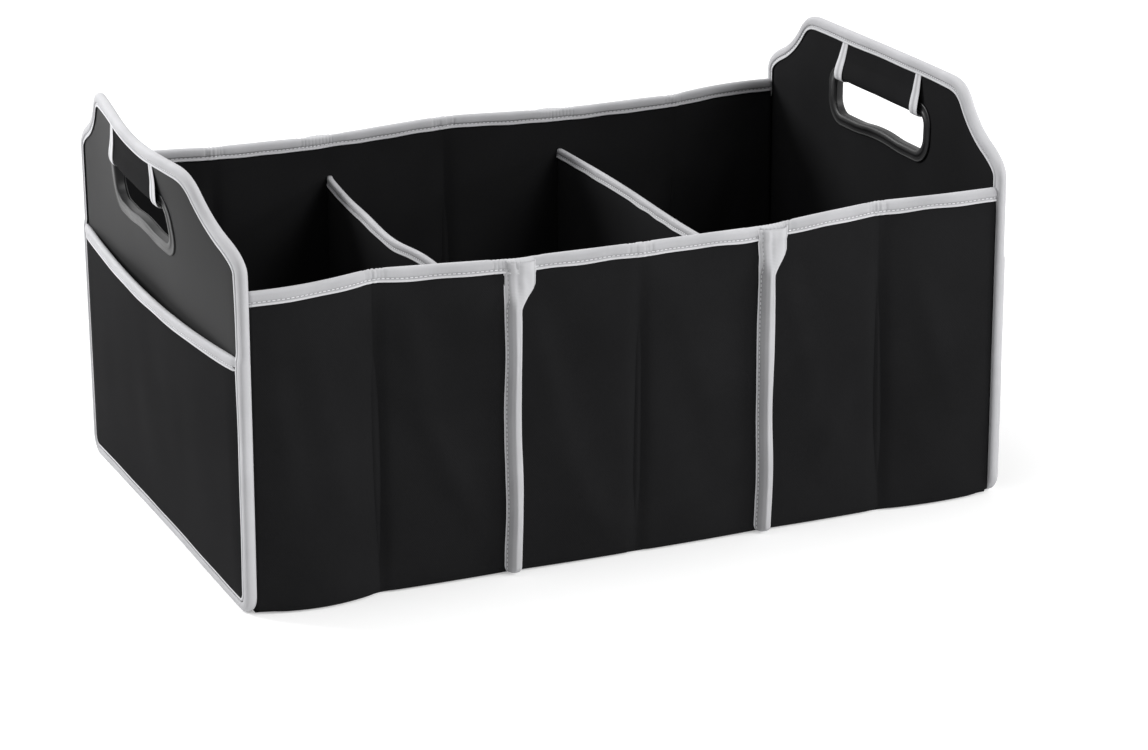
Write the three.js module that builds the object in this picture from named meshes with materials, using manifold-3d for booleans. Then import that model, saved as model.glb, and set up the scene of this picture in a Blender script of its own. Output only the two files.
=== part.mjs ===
// A car trunk organizer with three compartments, set up for use: two stiff end panels with hand holes and outer
// pockets, two folding long walls, two dividers and three hinged floor boards.
// Millimetres. X runs along the organizer, Y from front to back and Z up. The origin is at the middle of its underside.
import * as THREE from "three";
import { mergeVertices } from "three/addons/utils/BufferGeometryUtils.js";
import Module from "manifold-3d";

const wasm = await Module();
wasm.setup();

// Overall form
const LENGTH = 560; // between the outer faces of the end panels
const COMPARTMENTS = 3;
const PANEL_WIDTH = 360; // end panel over its edge tape
const PANEL_TOP = 289; // top of the end panel over its edge tape
const SHOULDER_RISE = 56; // height over which the end panel narrows to its top
const TOP_FLAT_HALF = 100; // half of the straight top edge of the end panel
const PANEL_FOOT_RADIUS = 14;
const WALL_TOP = 222; // mean height of the long walls over their tape
const WALL_WAVE = 2; // how far that edge rises at the folds and dips at the seams
const WALL_SET_IN = 3; // from the edge of the end panel to the outer face of a long wall
const FOLD_DEPTH = 9; // how far the folds of the end sections stand in
const MIDDLE_SWELL = 3; // how far the middle section stands out
const DIVIDER_TOP = 191;
const DIVIDER_SAG = 3; // how far a divider's top edge hangs in the middle

// Materials
const CLOTH = 1;
const TAPE = 1;
const WALL_BOARD = 2;
const PANEL_BOARD = 2.4;
const FLOOR_BOARD = 5;
const BASE_CLOTH = 1.5;
const FIT = 0.3; // clearance between pieces that lie on each other
const TAPE_WIDTH = 8.5; // what shows of a binding tape on each side of an edge
const SEAM_ALLOWANCE = 6; // sewn edge with no board in it
const TAPE_FOOT_Z = 0.5; // the end panels' tape ends just above the ground, which the base cloth lies on

// Pinched seams of the long walls
const RIDGE_WIDTH = 8;
const RIDGE_HEIGHT = 7;
const RIDGE_ROUND = 2;
const FUNNEL_WIDTH = 19; // tape over a seam, at its top
const FUNNEL_HEIGHT = 26;
const RIDGE_FOOT_Z = 0.9;

// Pockets
const POCKET_TOP = 175;
const POCKET_BULGE = 10;
const POCKET_STEPS_ACROSS = 16;
const POCKET_STEPS_UP = 8;

// Hand holes and their frames
const BAR_HEIGHT = 36; // from the top of the end panel down to its hand hole
const HOLE_HALF = 68;
const HOLE_HEIGHT = 29;
const HOLE_ARCH = 2; // the lower edge of the hole rises in its middle
const HOLE_LOWER_RADIUS = 12;
const HOLE_UPPER_RADIUS = 8;
const FLANGE_SIDE = 9; // width of the moulded frame beside the hole
const FLANGE_RISE = 8; // width of the moulded frame above and below it
const FLANGE = 1.8;
const LIP_WIDTH = 4.5;
const LIP = 3.2;
const COLLAR = 1.5;
const MOULD_ROUND = 1;

// Cloth grip over the bar above the hand hole
const STRIP_CENTRE = 55;
const STRIP_WIDTH = 10;
const GRIP_TUCK = 4; // how far the cloth runs in under each strip
const GRIP_TAPER = 4; // height over which the grip narrows to the panel

// Floor boards
const BOARD_PLAY = 1; // between a floor board and the divider or panel at its free edge
const BOARD_SIDE_PLAY = 2.5; // between a floor board and the long walls
const BOARD_CORNER = 6;
const HINGE_HEIGHT = 20;
const HINGE_INSET = 10; // a hinge tape is this much shorter than its board at each end
const HINGE_PLAY = 0.5;

// Values that follow from those
const WALL_THICK = WALL_BOARD + 2 * (CLOTH + FIT);
const PANEL_THICK = PANEL_BOARD + 2 * (CLOTH + FIT);
const PANEL_OUT = LENGTH / 2;
const PANEL_IN = PANEL_OUT - PANEL_THICK;
const PANEL_MID = PANEL_OUT - PANEL_THICK / 2;
const PANEL_FACE = PANEL_IN - FIT - TAPE; // inner face of the end panel's tape
const WALL_END = PANEL_FACE - FIT;
const WALL_FOOT = BASE_CLOTH + FIT;
const PITCH = LENGTH / COMPARTMENTS;
const CORNER_Y = PANEL_WIDTH / 2 - WALL_SET_IN;
const WALL_BOARD_TOP = WALL_TOP - WALL_WAVE - SEAM_ALLOWANCE;
const TALL = PANEL_TOP * 2; // past everything, for cutting
const FLOOR_TOP = WALL_FOOT + FLOOR_BOARD;
const SHOULDER_Z = PANEL_TOP - SHOULDER_RISE;
const HOLE_TOP = PANEL_TOP - BAR_HEIGHT;
const HOLE_BOTTOM = HOLE_TOP - HOLE_HEIGHT;
const SEAMS = Array.from({ length: COMPARTMENTS - 1 }, (_, i) => (i + 1) * PITCH - LENGTH / 2);

// Solid modelling

function solidOf(geometry) {
  const bare = geometry.clone();
  bare.deleteAttribute("normal");
  bare.deleteAttribute("uv");
  const merged = mergeVertices(bare, 1e-4);
  const mesh = new wasm.Mesh({
    numProp: 3,
    vertProperties: new Float32Array(merged.attributes.position.array),
    triVerts: new Uint32Array(merged.index.array),
  });
  return new wasm.Manifold(mesh);
}

function geometryOf(solid) {
  const mesh = solid.getMesh();
  const geometry = new THREE.BufferGeometry();
  geometry.setAttribute("position", new THREE.BufferAttribute(mesh.vertProperties, 3));
  geometry.setIndex(new THREE.BufferAttribute(mesh.triVerts, 1));
  return geometry;
}

// An outline in plan, carried up from z0 to z1.
function extrudeUp(points, z0, z1) {
  const geometry = new THREE.ExtrudeGeometry(new THREE.Shape(points), { depth: z1 - z0, bevelEnabled: false });
  geometry.translate(0, 0, z0);
  return solidOf(geometry);
}

// Turns an extrusion drawn in (y, z) so that it runs along X.
const ALONG_X = new THREE.Matrix4().makeBasis(
  new THREE.Vector3(0, 1, 0),
  new THREE.Vector3(0, 0, 1),
  new THREE.Vector3(1, 0, 0),
);

// Turns an extrusion drawn in (x, z) so that it runs along Y, from its far end to its near end.
const ALONG_Y = new THREE.Matrix4().makeBasis(
  new THREE.Vector3(1, 0, 0),
  new THREE.Vector3(0, 0, 1),
  new THREE.Vector3(0, -1, 0),
);

function extrudeAlongX(points, x0, x1) {
  const geometry = new THREE.ExtrudeGeometry(new THREE.Shape(points), { depth: x1 - x0, bevelEnabled: false });
  geometry.translate(0, 0, x0);
  geometry.applyMatrix4(ALONG_X);
  return solidOf(geometry);
}

function extrudeAlongY(points, y0, y1) {
  const geometry = new THREE.ExtrudeGeometry(new THREE.Shape(points), { depth: y1 - y0, bevelEnabled: false });
  geometry.translate(0, 0, -y1);
  geometry.applyMatrix4(ALONG_Y);
  return solidOf(geometry);
}

function block(x0, x1, y0, y1, z0, z1) {
  const geometry = new THREE.BoxGeometry(x1 - x0, y1 - y0, z1 - z0);
  geometry.translate((x0 + x1) / 2, (y0 + y1) / 2, (z0 + z1) / 2);
  return solidOf(geometry);
}

// Outlines

// Moves each corner of a line along the bisector of its two edges, to the right of the way it runs when the
// distance is positive. A closed line that runs anticlockwise grows.
function offsetLine(points, distance, closed) {
  const count = points.length;
  return points.map((point, i) => {
    const before = closed || i > 0 ? points[(i + count - 1) % count] : null;
    const after = closed || i < count - 1 ? points[(i + 1) % count] : null;
    const inward = before ? point.clone().sub(before).normalize() : after.clone().sub(point).normalize();
    const outward = after ? after.clone().sub(point).normalize() : inward;
    const bisector = inward.clone().add(outward).normalize();
    const stretch = distance / bisector.dot(outward);
    return new THREE.Vector2(point.x + bisector.y * stretch, point.y - bisector.x * stretch);
  });
}

// A loop that is the same on both sides of y = 0, from the points of its right half, bottom to top.
function mirrored(half) {
  const left = half.filter((p) => p.x > 0).map((p) => new THREE.Vector2(-p.x, p.y));
  return [...half, ...left.reverse()];
}

// The end panel's outline in (y, z): square feet with round corners, shoulders in an S curve and a straight top.
// The S curve is given as shares of its own run and rise.
function panelOutline(inset) {
  const side = PANEL_WIDTH / 2;
  const at = (run, rise) => [
    side - run * (side - TOP_FLAT_HALF),
    SHOULDER_Z + rise * SHOULDER_RISE,
  ];
  const path = new THREE.Path();
  path.moveTo(0, TAPE_FOOT_Z);
  path.lineTo(side - PANEL_FOOT_RADIUS, TAPE_FOOT_Z);
  path.absarc(side - PANEL_FOOT_RADIUS, TAPE_FOOT_Z + PANEL_FOOT_RADIUS, PANEL_FOOT_RADIUS, -Math.PI / 2, 0);
  path.lineTo(side, SHOULDER_Z);
  path.bezierCurveTo(...at(0, 0.18), ...at(0.15, 0.295), ...at(0.31, 0.39));
  path.bezierCurveTo(...at(0.46, 0.49), ...at(0.58, 0.63), ...at(0.675, 0.81));
  path.bezierCurveTo(...at(0.76, 0.95), ...at(0.86, 1), ...at(1, 1));
  return offsetLine(mirrored(path.getPoints(5)), -inset, true);
}

// The hand hole's outline in (y, z), grown by the given widths. Its lower edge is arched.
function holeOutline(side, rise) {
  const half = HOLE_HALF + side;
  const bottom = HOLE_BOTTOM - rise;
  const top = HOLE_TOP + rise;
  const lower = HOLE_LOWER_RADIUS + rise;
  const upper = HOLE_UPPER_RADIUS + rise;
  const path = new THREE.Path();
  path.moveTo(0, bottom + HOLE_ARCH);
  path.bezierCurveTo(half / 4, bottom + HOLE_ARCH, half / 3, bottom, half / 2, bottom);
  path.lineTo(half - lower, bottom);
  path.absarc(half - lower, bottom + lower, lower, -Math.PI / 2, 0);
  path.lineTo(half, top - upper);
  path.absarc(half - upper, top - upper, upper, 0, Math.PI / 2);
  return mirrored(path.getPoints(3));
}

// A long wall's outer face in plan, for the front wall: straight panels between the corners, the folds and the
// seams. The folds of the end sections stand in and the middle fold stands out.
function wallCreases() {
  const creases = [new THREE.Vector2(-WALL_END, -CORNER_Y)];
  for (let i = 0; i < COMPARTMENTS; i += 1) {
    const middle = (i + 0.5) * PITCH - LENGTH / 2;
    const atEnd = i === 0 || i === COMPARTMENTS - 1;
    creases.push(new THREE.Vector2(middle, atEnd ? FOLD_DEPTH - CORNER_Y : -CORNER_Y - MIDDLE_SWELL));
    if (i < COMPARTMENTS - 1) creases.push(new THREE.Vector2(SEAMS[i], -CORNER_Y));
  }
  creases.push(new THREE.Vector2(WALL_END, -CORNER_Y));
  return creases;
}

// The same line with the cloth pinched into a ridge at each seam.
function ridgedLine() {
  const half = RIDGE_WIDTH / 2;
  const bump = [
    [-half, 0],
    [-half, RIDGE_HEIGHT - RIDGE_ROUND],
    [RIDGE_ROUND - half, RIDGE_HEIGHT],
    [half - RIDGE_ROUND, RIDGE_HEIGHT],
    [half, RIDGE_HEIGHT - RIDGE_ROUND],
    [half, 0],
  ];
  return wallCreases().flatMap((crease) =>
    SEAMS.includes(crease.x) ? bump.map(([dx, out]) => new THREE.Vector2(crease.x + dx, crease.y - out)) : [crease],
  );
}

// The wall's whole section in plan, grown by the given width on both faces.
function wallPlan(grow) {
  const outside = offsetLine(ridgedLine(), grow, false);
  const inside = offsetLine(wallCreases(), -WALL_THICK - grow, false);
  return [...outside, ...inside.reverse()];
}

// Where the inner face of a wall comes closest to the middle between two places along the organizer.
function innerHalfDepth(x0, x1) {
  const inside = offsetLine(wallCreases(), -WALL_THICK, false);
  const depthAt = (x) => {
    const i = Math.max(1, inside.findIndex((p) => p.x >= x));
    const t = (x - inside[i - 1].x) / (inside[i].x - inside[i - 1].x);
    return -THREE.MathUtils.lerp(inside[i - 1].y, inside[i].y, t);
  };
  const between = inside.filter((p) => p.x > x0 && p.x < x1).map((p) => -p.y);
  return Math.min(depthAt(x0), depthAt(x1), ...between);
}

// Height of the wall's top edge over its tape.
function wallTopAt(x) {
  return WALL_TOP + WALL_WAVE * Math.cos((2 * Math.PI * x) / PITCH) * (COMPARTMENTS % 2 ? 1 : -1);
}

// Everything between two heights that follow the wall's top edge, given as drops below it.
function underTopEdge(lowDrop, highDrop) {
  const steps = COMPARTMENTS * 8;
  const edge = (drop) =>
    Array.from({ length: steps + 1 }, (_, i) => {
      const x = THREE.MathUtils.lerp(-WALL_END, WALL_END, i / steps);
      return new THREE.Vector2(x, wallTopAt(x) - drop);
    });
  return extrudeAlongY([...edge(lowDrop), ...edge(highDrop).reverse()], -PANEL_WIDTH, 0);
}

// Plain cloth, card and tape pieces

// An end panel layer with the hand hole cut out of it.
function panelLayer(inset, x0, x1) {
  const plate = extrudeAlongX(panelOutline(inset), x0, x1);
  const grow = COLLAR + FIT;
  return plate.subtract(extrudeAlongX(holeOutline(grow, grow), x0 - 1, x1 + 1));
}

// Tape folded round the whole edge of an end panel.
function edgeBinding() {
  const whole = extrudeAlongX(panelOutline(0), PANEL_FACE, PANEL_OUT + FIT + TAPE);
  const groove = extrudeAlongX(panelOutline(TAPE), PANEL_IN - FIT, PANEL_OUT + FIT);
  const window = extrudeAlongX(panelOutline(TAPE_WIDTH), PANEL_FACE - 1, PANEL_OUT + FIT + TAPE + 1);
  return whole.subtract(groove).subtract(window);
}

// How far a pocket stands off the panel: most in the middle of its mouth, nothing at its sides and bottom.
function pocketBulge(y, z) {
  const half = PANEL_WIDTH / 2 - TAPE_WIDTH - FIT;
  const foot = TAPE_FOOT_Z + TAPE_WIDTH;
  const across = Math.max(0, 1 - (y / half) ** 2);
  const up = THREE.MathUtils.clamp((z - foot) / (POCKET_TOP - foot), 0, 1);
  return POCKET_BULGE * across * Math.sin((Math.PI / 2) * up);
}

// A sheet that follows the pocket's bulge, between two distances from the panel and two heights.
function bulgedSheet(near, far, z0, z1, stepsUp) {
  const half = PANEL_WIDTH / 2 - TAPE_WIDTH - FIT;
  const sheet = new THREE.BoxGeometry(far - near, 2 * half, z1 - z0, 1, POCKET_STEPS_ACROSS, stepsUp);
  sheet.translate(PANEL_OUT + (near + far) / 2, 0, (z0 + z1) / 2);
  const position = sheet.attributes.position;
  for (let i = 0; i < position.count; i += 1) {
    position.setX(i, position.getX(i) + pocketBulge(position.getY(i), position.getZ(i)));
  }
  return solidOf(sheet);
}

function pocket() {
  const sheet = bulgedSheet(FIT, FIT + CLOTH, TAPE_FOOT_Z, POCKET_TOP, POCKET_STEPS_UP);
  const reach = PANEL_OUT + CLOTH + 2 * POCKET_BULGE;
  return sheet.intersect(extrudeAlongX(panelOutline(TAPE_WIDTH + FIT), PANEL_OUT, reach));
}

// Tape folded over the pocket's mouth. Its inner half thins out where the pocket meets the panel.
function pocketBinding() {
  const top = POCKET_TOP + FIT + TAPE;
  const whole = bulgedSheet(-TAPE, CLOTH + 2 * FIT + TAPE, top - TAPE_WIDTH, top, 1);
  const groove = bulgedSheet(0, CLOTH + 2 * FIT, POCKET_TOP - 2 * TAPE_WIDTH, POCKET_TOP + FIT, 2);
  const panel = block(0, PANEL_OUT + FIT, -PANEL_WIDTH, PANEL_WIDTH, 0, TALL);
  return whole.subtract(groove).subtract(panel);
}

// Moulded frame of the hand hole

// A plate that stands on the plane x = 0, with its front edge rounded over.
function mouldedPlate(outline, height) {
  const geometry = new THREE.ExtrudeGeometry(new THREE.Shape(outline), {
    depth: height,
    bevelThickness: MOULD_ROUND,
    bevelSize: MOULD_ROUND,
    bevelOffset: -MOULD_ROUND,
    bevelSegments: 2,
  });
  geometry.translate(0, 0, -MOULD_ROUND);
  geometry.applyMatrix4(ALONG_X);
  return solidOf(geometry).intersect(block(0, height + 1, -PANEL_WIDTH, PANEL_WIDTH, 0, TALL));
}

// The frame's visible half before its hole is cut: a flat flange with a raised lip round the hole.
function frameFace() {
  const flange = mouldedPlate(holeOutline(FLANGE_SIDE, FLANGE_RISE), FLANGE);
  return flange.add(mouldedPlate(holeOutline(LIP_WIDTH, LIP_WIDTH), LIP));
}

function handHole() {
  return extrudeAlongX(holeOutline(0, 0), PANEL_IN - 2 * LIP, PANEL_OUT + 2 * LIP);
}

// The outer half has a collar that lines the hole through the panel.
function frameOuter() {
  const collar = extrudeAlongX(holeOutline(COLLAR, COLLAR), PANEL_IN, PANEL_OUT + FIT + FLANGE / 2);
  return frameFace().translate([PANEL_OUT + FIT, 0, 0]).add(collar).subtract(handHole());
}

function frameInner() {
  return frameFace().mirror([1, 0, 0]).translate([PANEL_IN - FIT, 0, 0]).subtract(handHole());
}

// The grip's section in (x, z): down over the frame on one side, round under the bar and up on the other side.
function gripSection(innerGrow, outerGrow) {
  const panel = PANEL_THICK / 2 + FIT;
  const flange = panel + FLANGE + FIT;
  const lip = panel + LIP + FIT;
  const foot = HOLE_TOP - FIT;
  const frameTop = HOLE_TOP + FLANGE_RISE + FIT;
  const half = [
    [panel, PANEL_TOP - TAPE_WIDTH - FIT],
    [panel, frameTop + GRIP_TAPER],
    [flange, frameTop + FIT],
    [lip, HOLE_TOP + LIP_WIDTH + FIT],
    [lip, foot],
  ];
  const left = half.map(([x, z]) => new THREE.Vector2(PANEL_MID - x, z));
  const right = half.map(([x, z]) => new THREE.Vector2(PANEL_MID + x, z)).reverse();
  const line = [...left, ...right];
  const outside = offsetLine(line, outerGrow, false);
  const inside = offsetLine(line, innerGrow, false);
  return [...outside, ...inside.reverse()];
}

function gripWrap() {
  const half = STRIP_CENTRE - STRIP_WIDTH / 2 + GRIP_TUCK;
  return extrudeAlongY(gripSection(0, CLOTH), -half, half);
}

function gripStrip(side) {
  const centre = side * STRIP_CENTRE;
  const section = gripSection(CLOTH + FIT, CLOTH + FIT + TAPE);
  return extrudeAlongY(section, centre - STRIP_WIDTH / 2, centre + STRIP_WIDTH / 2);
}

// Long walls

// The ends of one flat stretch of wall, and its directions along and into the wall.
function wallStretch(index) {
  const creases = wallCreases();
  const along = creases[index + 1].clone().sub(creases[index]).normalize();
  return { from: creases[index], to: creases[index + 1], along, into: new THREE.Vector2(-along.y, along.x) };
}

// A rectangle in plan inside one stretch of wall, set back from its creases.
function stretchPlan(index, setBack, near, far) {
  const { from, to, along, into } = wallStretch(index);
  const start = from.clone().addScaledVector(along, setBack);
  const end = to.clone().addScaledVector(along, -setBack);
  return [
    start.clone().addScaledVector(into, near),
    end.clone().addScaledVector(into, near),
    end.clone().addScaledVector(into, far),
    start.clone().addScaledVector(into, far),
  ];
}

function wallBoard(index) {
  const near = CLOTH + FIT;
  return extrudeUp(stretchPlan(index, SEAM_ALLOWANCE, near, near + WALL_BOARD), WALL_FOOT, WALL_BOARD_TOP);
}

// One sleeve of cloth with a pocket for each board, open at the bottom.
function wallCover() {
  const body = extrudeUp(wallPlan(0), WALL_FOOT, TALL);
  let cover = body.intersect(underTopEdge(TALL, TAPE + FIT));
  for (let i = 0; i < 2 * COMPARTMENTS; i += 1) {
    const room = stretchPlan(i, SEAM_ALLOWANCE - FIT, CLOTH, WALL_THICK - CLOTH);
    cover = cover.subtract(extrudeUp(room, 0, WALL_BOARD_TOP + FIT));
  }
  return cover;
}

// Tape folded over the top edge of a long wall.
function wallTopBinding() {
  const whole = extrudeUp(wallPlan(FIT + TAPE), 0, TALL).intersect(underTopEdge(TAPE_WIDTH, 0));
  const groove = extrudeUp(wallPlan(FIT), 0, TALL).intersect(underTopEdge(TALL, TAPE));
  return whole.subtract(groove);
}

// Tape round the ridge at a seam: a rounded foot, straight sides and a funnel that meets the top tape.
function ridgeBinding(seam) {
  const near = offsetLine(ridgedLine(), FIT, false);
  const far = offsetLine(ridgedLine(), FIT + TAPE, false);
  const top = wallTopAt(seam) - TAPE_WIDTH - FIT;
  const band = extrudeUp([...far, ...near.reverse()], 0, top);
  const half = RIDGE_WIDTH / 2 + FIT + TAPE;
  const funnel = FUNNEL_WIDTH / 2;
  const front = new THREE.Path();
  front.moveTo(seam + half, RIDGE_FOOT_Z + half);
  front.lineTo(seam + half, top - FUNNEL_HEIGHT);
  front.quadraticCurveTo(seam + half, top - FUNNEL_HEIGHT / 3, seam + funnel, top);
  front.lineTo(seam - funnel, top);
  front.quadraticCurveTo(seam - half, top - FUNNEL_HEIGHT / 3, seam - half, top - FUNNEL_HEIGHT);
  front.lineTo(seam - half, RIDGE_FOOT_Z + half);
  front.absarc(seam, RIDGE_FOOT_Z + half, half, Math.PI, 2 * Math.PI);
  return band.intersect(extrudeAlongY(front.getPoints(5), -PANEL_WIDTH, 0));
}

// Dividers

function dividerHalf() {
  const reach = WALL_THICK / 2 + FIT + TAPE;
  return innerHalfDepth(SEAMS[0] - reach, SEAMS[0] + reach) - FIT;
}

// A divider's side view between two heights; the upper one is a drop below its hanging top edge.
function dividerOutline(setIn, low, drop) {
  const half = dividerHalf() - setIn;
  const steps = 12;
  const top = Array.from({ length: steps + 1 }, (_, i) => {
    const y = THREE.MathUtils.lerp(half, -half, i / steps);
    return new THREE.Vector2(y, DIVIDER_TOP - drop - DIVIDER_SAG * Math.cos((Math.PI * y) / (2 * half)));
  });
  return [new THREE.Vector2(-half, low), new THREE.Vector2(half, low), ...top];
}

function dividerPlate(seam, thick, setIn, low, drop) {
  return extrudeAlongX(dividerOutline(setIn, low, drop), seam - thick / 2, seam + thick / 2);
}

function dividerCover(seam) {
  const body = dividerPlate(seam, WALL_THICK, 0, WALL_FOOT, TAPE + FIT);
  return body.subtract(dividerPlate(seam, WALL_THICK - 2 * CLOTH, SEAM_ALLOWANCE - FIT, 0, SEAM_ALLOWANCE));
}

function dividerBoard(seam) {
  return dividerPlate(seam, WALL_BOARD, SEAM_ALLOWANCE, WALL_FOOT, SEAM_ALLOWANCE + FIT);
}

function dividerBinding(seam) {
  const whole = dividerPlate(seam, WALL_THICK + 2 * (FIT + TAPE), 0, DIVIDER_TOP - DIVIDER_SAG - TAPE_WIDTH, 0);
  const half = dividerHalf() + 1;
  const thick = WALL_THICK / 2 + FIT;
  const under = dividerPlate(seam, 2 * thick, -1, 0, TAPE);
  const below = block(seam - thick, seam + thick, -half, half, 0, DIVIDER_TOP - DIVIDER_SAG - TAPE_WIDTH);
  return whole.subtract(under).subtract(below);
}

// Floor

function baseCloth() {
  const line = offsetLine(wallCreases(), -CLOTH, false);
  const back = line.map((p) => new THREE.Vector2(-p.x, -p.y));
  return extrudeUp([...line, ...back], 0, BASE_CLOTH);
}

// The clear stretch of floor in one compartment, from the face that carries the hinge tape to the far face.
function compartmentFloor(index) {
  const left = index === 0 ? -PANEL_FACE : SEAMS[index - 1] + WALL_THICK / 2;
  const right = index === COMPARTMENTS - 1 ? PANEL_FACE : SEAMS[index] - WALL_THICK / 2;
  const hinge = left + FIT + TAPE;
  const x0 = hinge + HINGE_PLAY;
  const x1 = right - BOARD_PLAY;
  return { left, hinge, x0, x1, half: innerHalfDepth(x0, x1) - BOARD_SIDE_PLAY };
}

// A stiff board sewn into cloth, square along its hinge and with round corners at its free edge.
function floorBoard(index) {
  const { x0, x1, half } = compartmentFloor(index);
  const path = new THREE.Path();
  path.moveTo(x0, half);
  path.lineTo(x0, -half);
  path.lineTo(x1 - BOARD_CORNER, -half);
  path.absarc(x1 - BOARD_CORNER, BOARD_CORNER - half, BOARD_CORNER, -Math.PI / 2, 0);
  path.lineTo(x1, half - BOARD_CORNER);
  path.absarc(x1 - BOARD_CORNER, half - BOARD_CORNER, BOARD_CORNER, 0, Math.PI / 2);
  return extrudeUp(path.getPoints(4), WALL_FOOT, FLOOR_TOP);
}

function floorHinge(index) {
  const { left, hinge, half } = compartmentFloor(index);
  const reach = half - HINGE_INSET;
  return block(left + FIT, hinge, -reach, reach, WALL_FOOT, HINGE_HEIGHT);
}

// Finishes

function finish(color, roughness, metalness = 0) {
  return new THREE.MeshStandardMaterial({ color, roughness, metalness });
}

const blackCloth = () => finish(0x1d1d1f, 0.85);
const greyVinyl = () => finish(0x4c4c4e, 0.6);
const greyTape = () => finish(0xb9babf, 0.8);
const card = () => finish(0x9a8a6c, 0.9);
const blackPlastic = () => finish(0x151517, 0.3);

function piece(name, solid, material) {
  const mesh = new THREE.Mesh(geometryOf(solid), material);
  mesh.name = name;
  return mesh;
}

// Assembly

// The right end panel. The left one is the same, turned half round.
function endPanel(side) {
  const group = new THREE.Group();
  const boardIn = PANEL_IN + CLOTH + FIT;
  const edge = TAPE + FIT;
  const skin = panelLayer(edge, PANEL_OUT - CLOTH, PANEL_OUT);
  const board = panelLayer(edge + SEAM_ALLOWANCE, boardIn, boardIn + PANEL_BOARD);
  const lining = panelLayer(edge, PANEL_IN, PANEL_IN + CLOTH);
  group.add(piece(`${side}_end_outer_skin`, skin, greyVinyl()));
  group.add(piece(`${side}_end_board`, board, card()));
  group.add(piece(`${side}_end_lining`, lining, blackCloth()));
  group.add(piece(`${side}_edge_binding`, edgeBinding(), greyTape()));
  group.add(piece(`${side}_pocket`, pocket(), blackCloth()));
  group.add(piece(`${side}_pocket_binding`, pocketBinding(), greyTape()));
  group.add(piece(`${side}_handle_frame_outer`, frameOuter(), blackPlastic()));
  group.add(piece(`${side}_handle_frame_inner`, frameInner(), blackPlastic()));
  group.add(piece(`${side}_grip_wrap`, gripWrap(), blackCloth()));
  group.add(piece(`${side}_grip_tape_1`, gripStrip(-1), greyTape()));
  group.add(piece(`${side}_grip_tape_2`, gripStrip(1), greyTape()));
  group.rotation.z = side === "left" ? Math.PI : 0;
  return group;
}

// The front wall. The back one is the same, turned half round.
function longWall(side) {
  const group = new THREE.Group();
  group.add(piece(`${side}_wall_cover`, wallCover(), blackCloth()));
  for (let i = 0; i < 2 * COMPARTMENTS; i += 1) {
    group.add(piece(`${side}_wall_board_${i + 1}`, wallBoard(i), card()));
  }
  group.add(piece(`${side}_top_binding`, wallTopBinding(), greyTape()));
  SEAMS.forEach((seam, i) => {
    group.add(piece(`${side}_ridge_binding_${i + 1}`, ridgeBinding(seam), greyTape()));
  });
  group.rotation.z = side === "back" ? Math.PI : 0;
  return group;
}

function divider(index) {
  const group = new THREE.Group();
  const seam = SEAMS[index];
  group.add(piece(`divider_${index + 1}_cover`, dividerCover(seam), blackCloth()));
  group.add(piece(`divider_${index + 1}_board`, dividerBoard(seam), card()));
  group.add(piece(`divider_${index + 1}_binding`, dividerBinding(seam), greyTape()));
  return group;
}

function floor() {
  const group = new THREE.Group();
  group.add(piece("base_cloth", baseCloth(), blackCloth()));
  for (let i = 0; i < COMPARTMENTS; i += 1) {
    group.add(piece(`floor_board_${i + 1}`, floorBoard(i), blackCloth()));
    group.add(piece(`floor_hinge_tape_${i + 1}`, floorHinge(i), blackCloth()));
  }
  return group;
}

const organizer = new THREE.Group();
organizer.add(endPanel("left"), endPanel("right"));
organizer.add(longWall("front"), longWall("back"));
SEAMS.forEach((_, i) => organizer.add(divider(i)));
organizer.add(floor());

export default organizer;
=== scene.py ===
"""Looks of a folding car trunk organizer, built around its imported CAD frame.

Metres throughout. X runs along the organizer, Y from front to back and Z up. Every new piece is a surface of two
parameters, worked out as numpy arrays and placed in its own mesh.
"""
import math

import bpy
import numpy as np
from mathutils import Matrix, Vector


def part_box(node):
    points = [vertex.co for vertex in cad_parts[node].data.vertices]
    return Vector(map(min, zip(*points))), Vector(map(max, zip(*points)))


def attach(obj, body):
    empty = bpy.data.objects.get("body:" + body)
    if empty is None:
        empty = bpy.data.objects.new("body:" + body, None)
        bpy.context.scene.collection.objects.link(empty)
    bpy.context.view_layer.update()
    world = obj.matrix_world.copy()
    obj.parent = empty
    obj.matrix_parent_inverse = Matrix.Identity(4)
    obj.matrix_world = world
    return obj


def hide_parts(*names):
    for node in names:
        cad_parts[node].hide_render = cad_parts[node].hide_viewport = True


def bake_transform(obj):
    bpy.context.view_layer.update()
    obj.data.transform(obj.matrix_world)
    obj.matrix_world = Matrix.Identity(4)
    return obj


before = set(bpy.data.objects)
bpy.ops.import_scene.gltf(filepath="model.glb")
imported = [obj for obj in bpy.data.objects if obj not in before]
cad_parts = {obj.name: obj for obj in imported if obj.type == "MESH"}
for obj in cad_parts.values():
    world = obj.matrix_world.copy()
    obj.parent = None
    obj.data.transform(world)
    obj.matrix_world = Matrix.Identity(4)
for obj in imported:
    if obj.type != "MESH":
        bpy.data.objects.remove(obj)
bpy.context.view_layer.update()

bl_info = {
    "name": "Trunk organizer",
    "version": (1, 0, 0),
    "blender": (4, 5, 0),
    "location": "3D View > Sidebar > Organizer",
    "description": "Builds the cloth, tape and moulded pieces of a folding trunk organizer",
    "category": "Object",
}

MM = 0.001
SIDES = ("left", "right")
WALLS = ("front", "back")


# Places read from the frame

def low(node):
    """The least corner of a CAD node's box."""
    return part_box(node)[0]


def high(node):
    """The greatest corner of a CAD node's box."""
    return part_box(node)[1]


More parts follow.
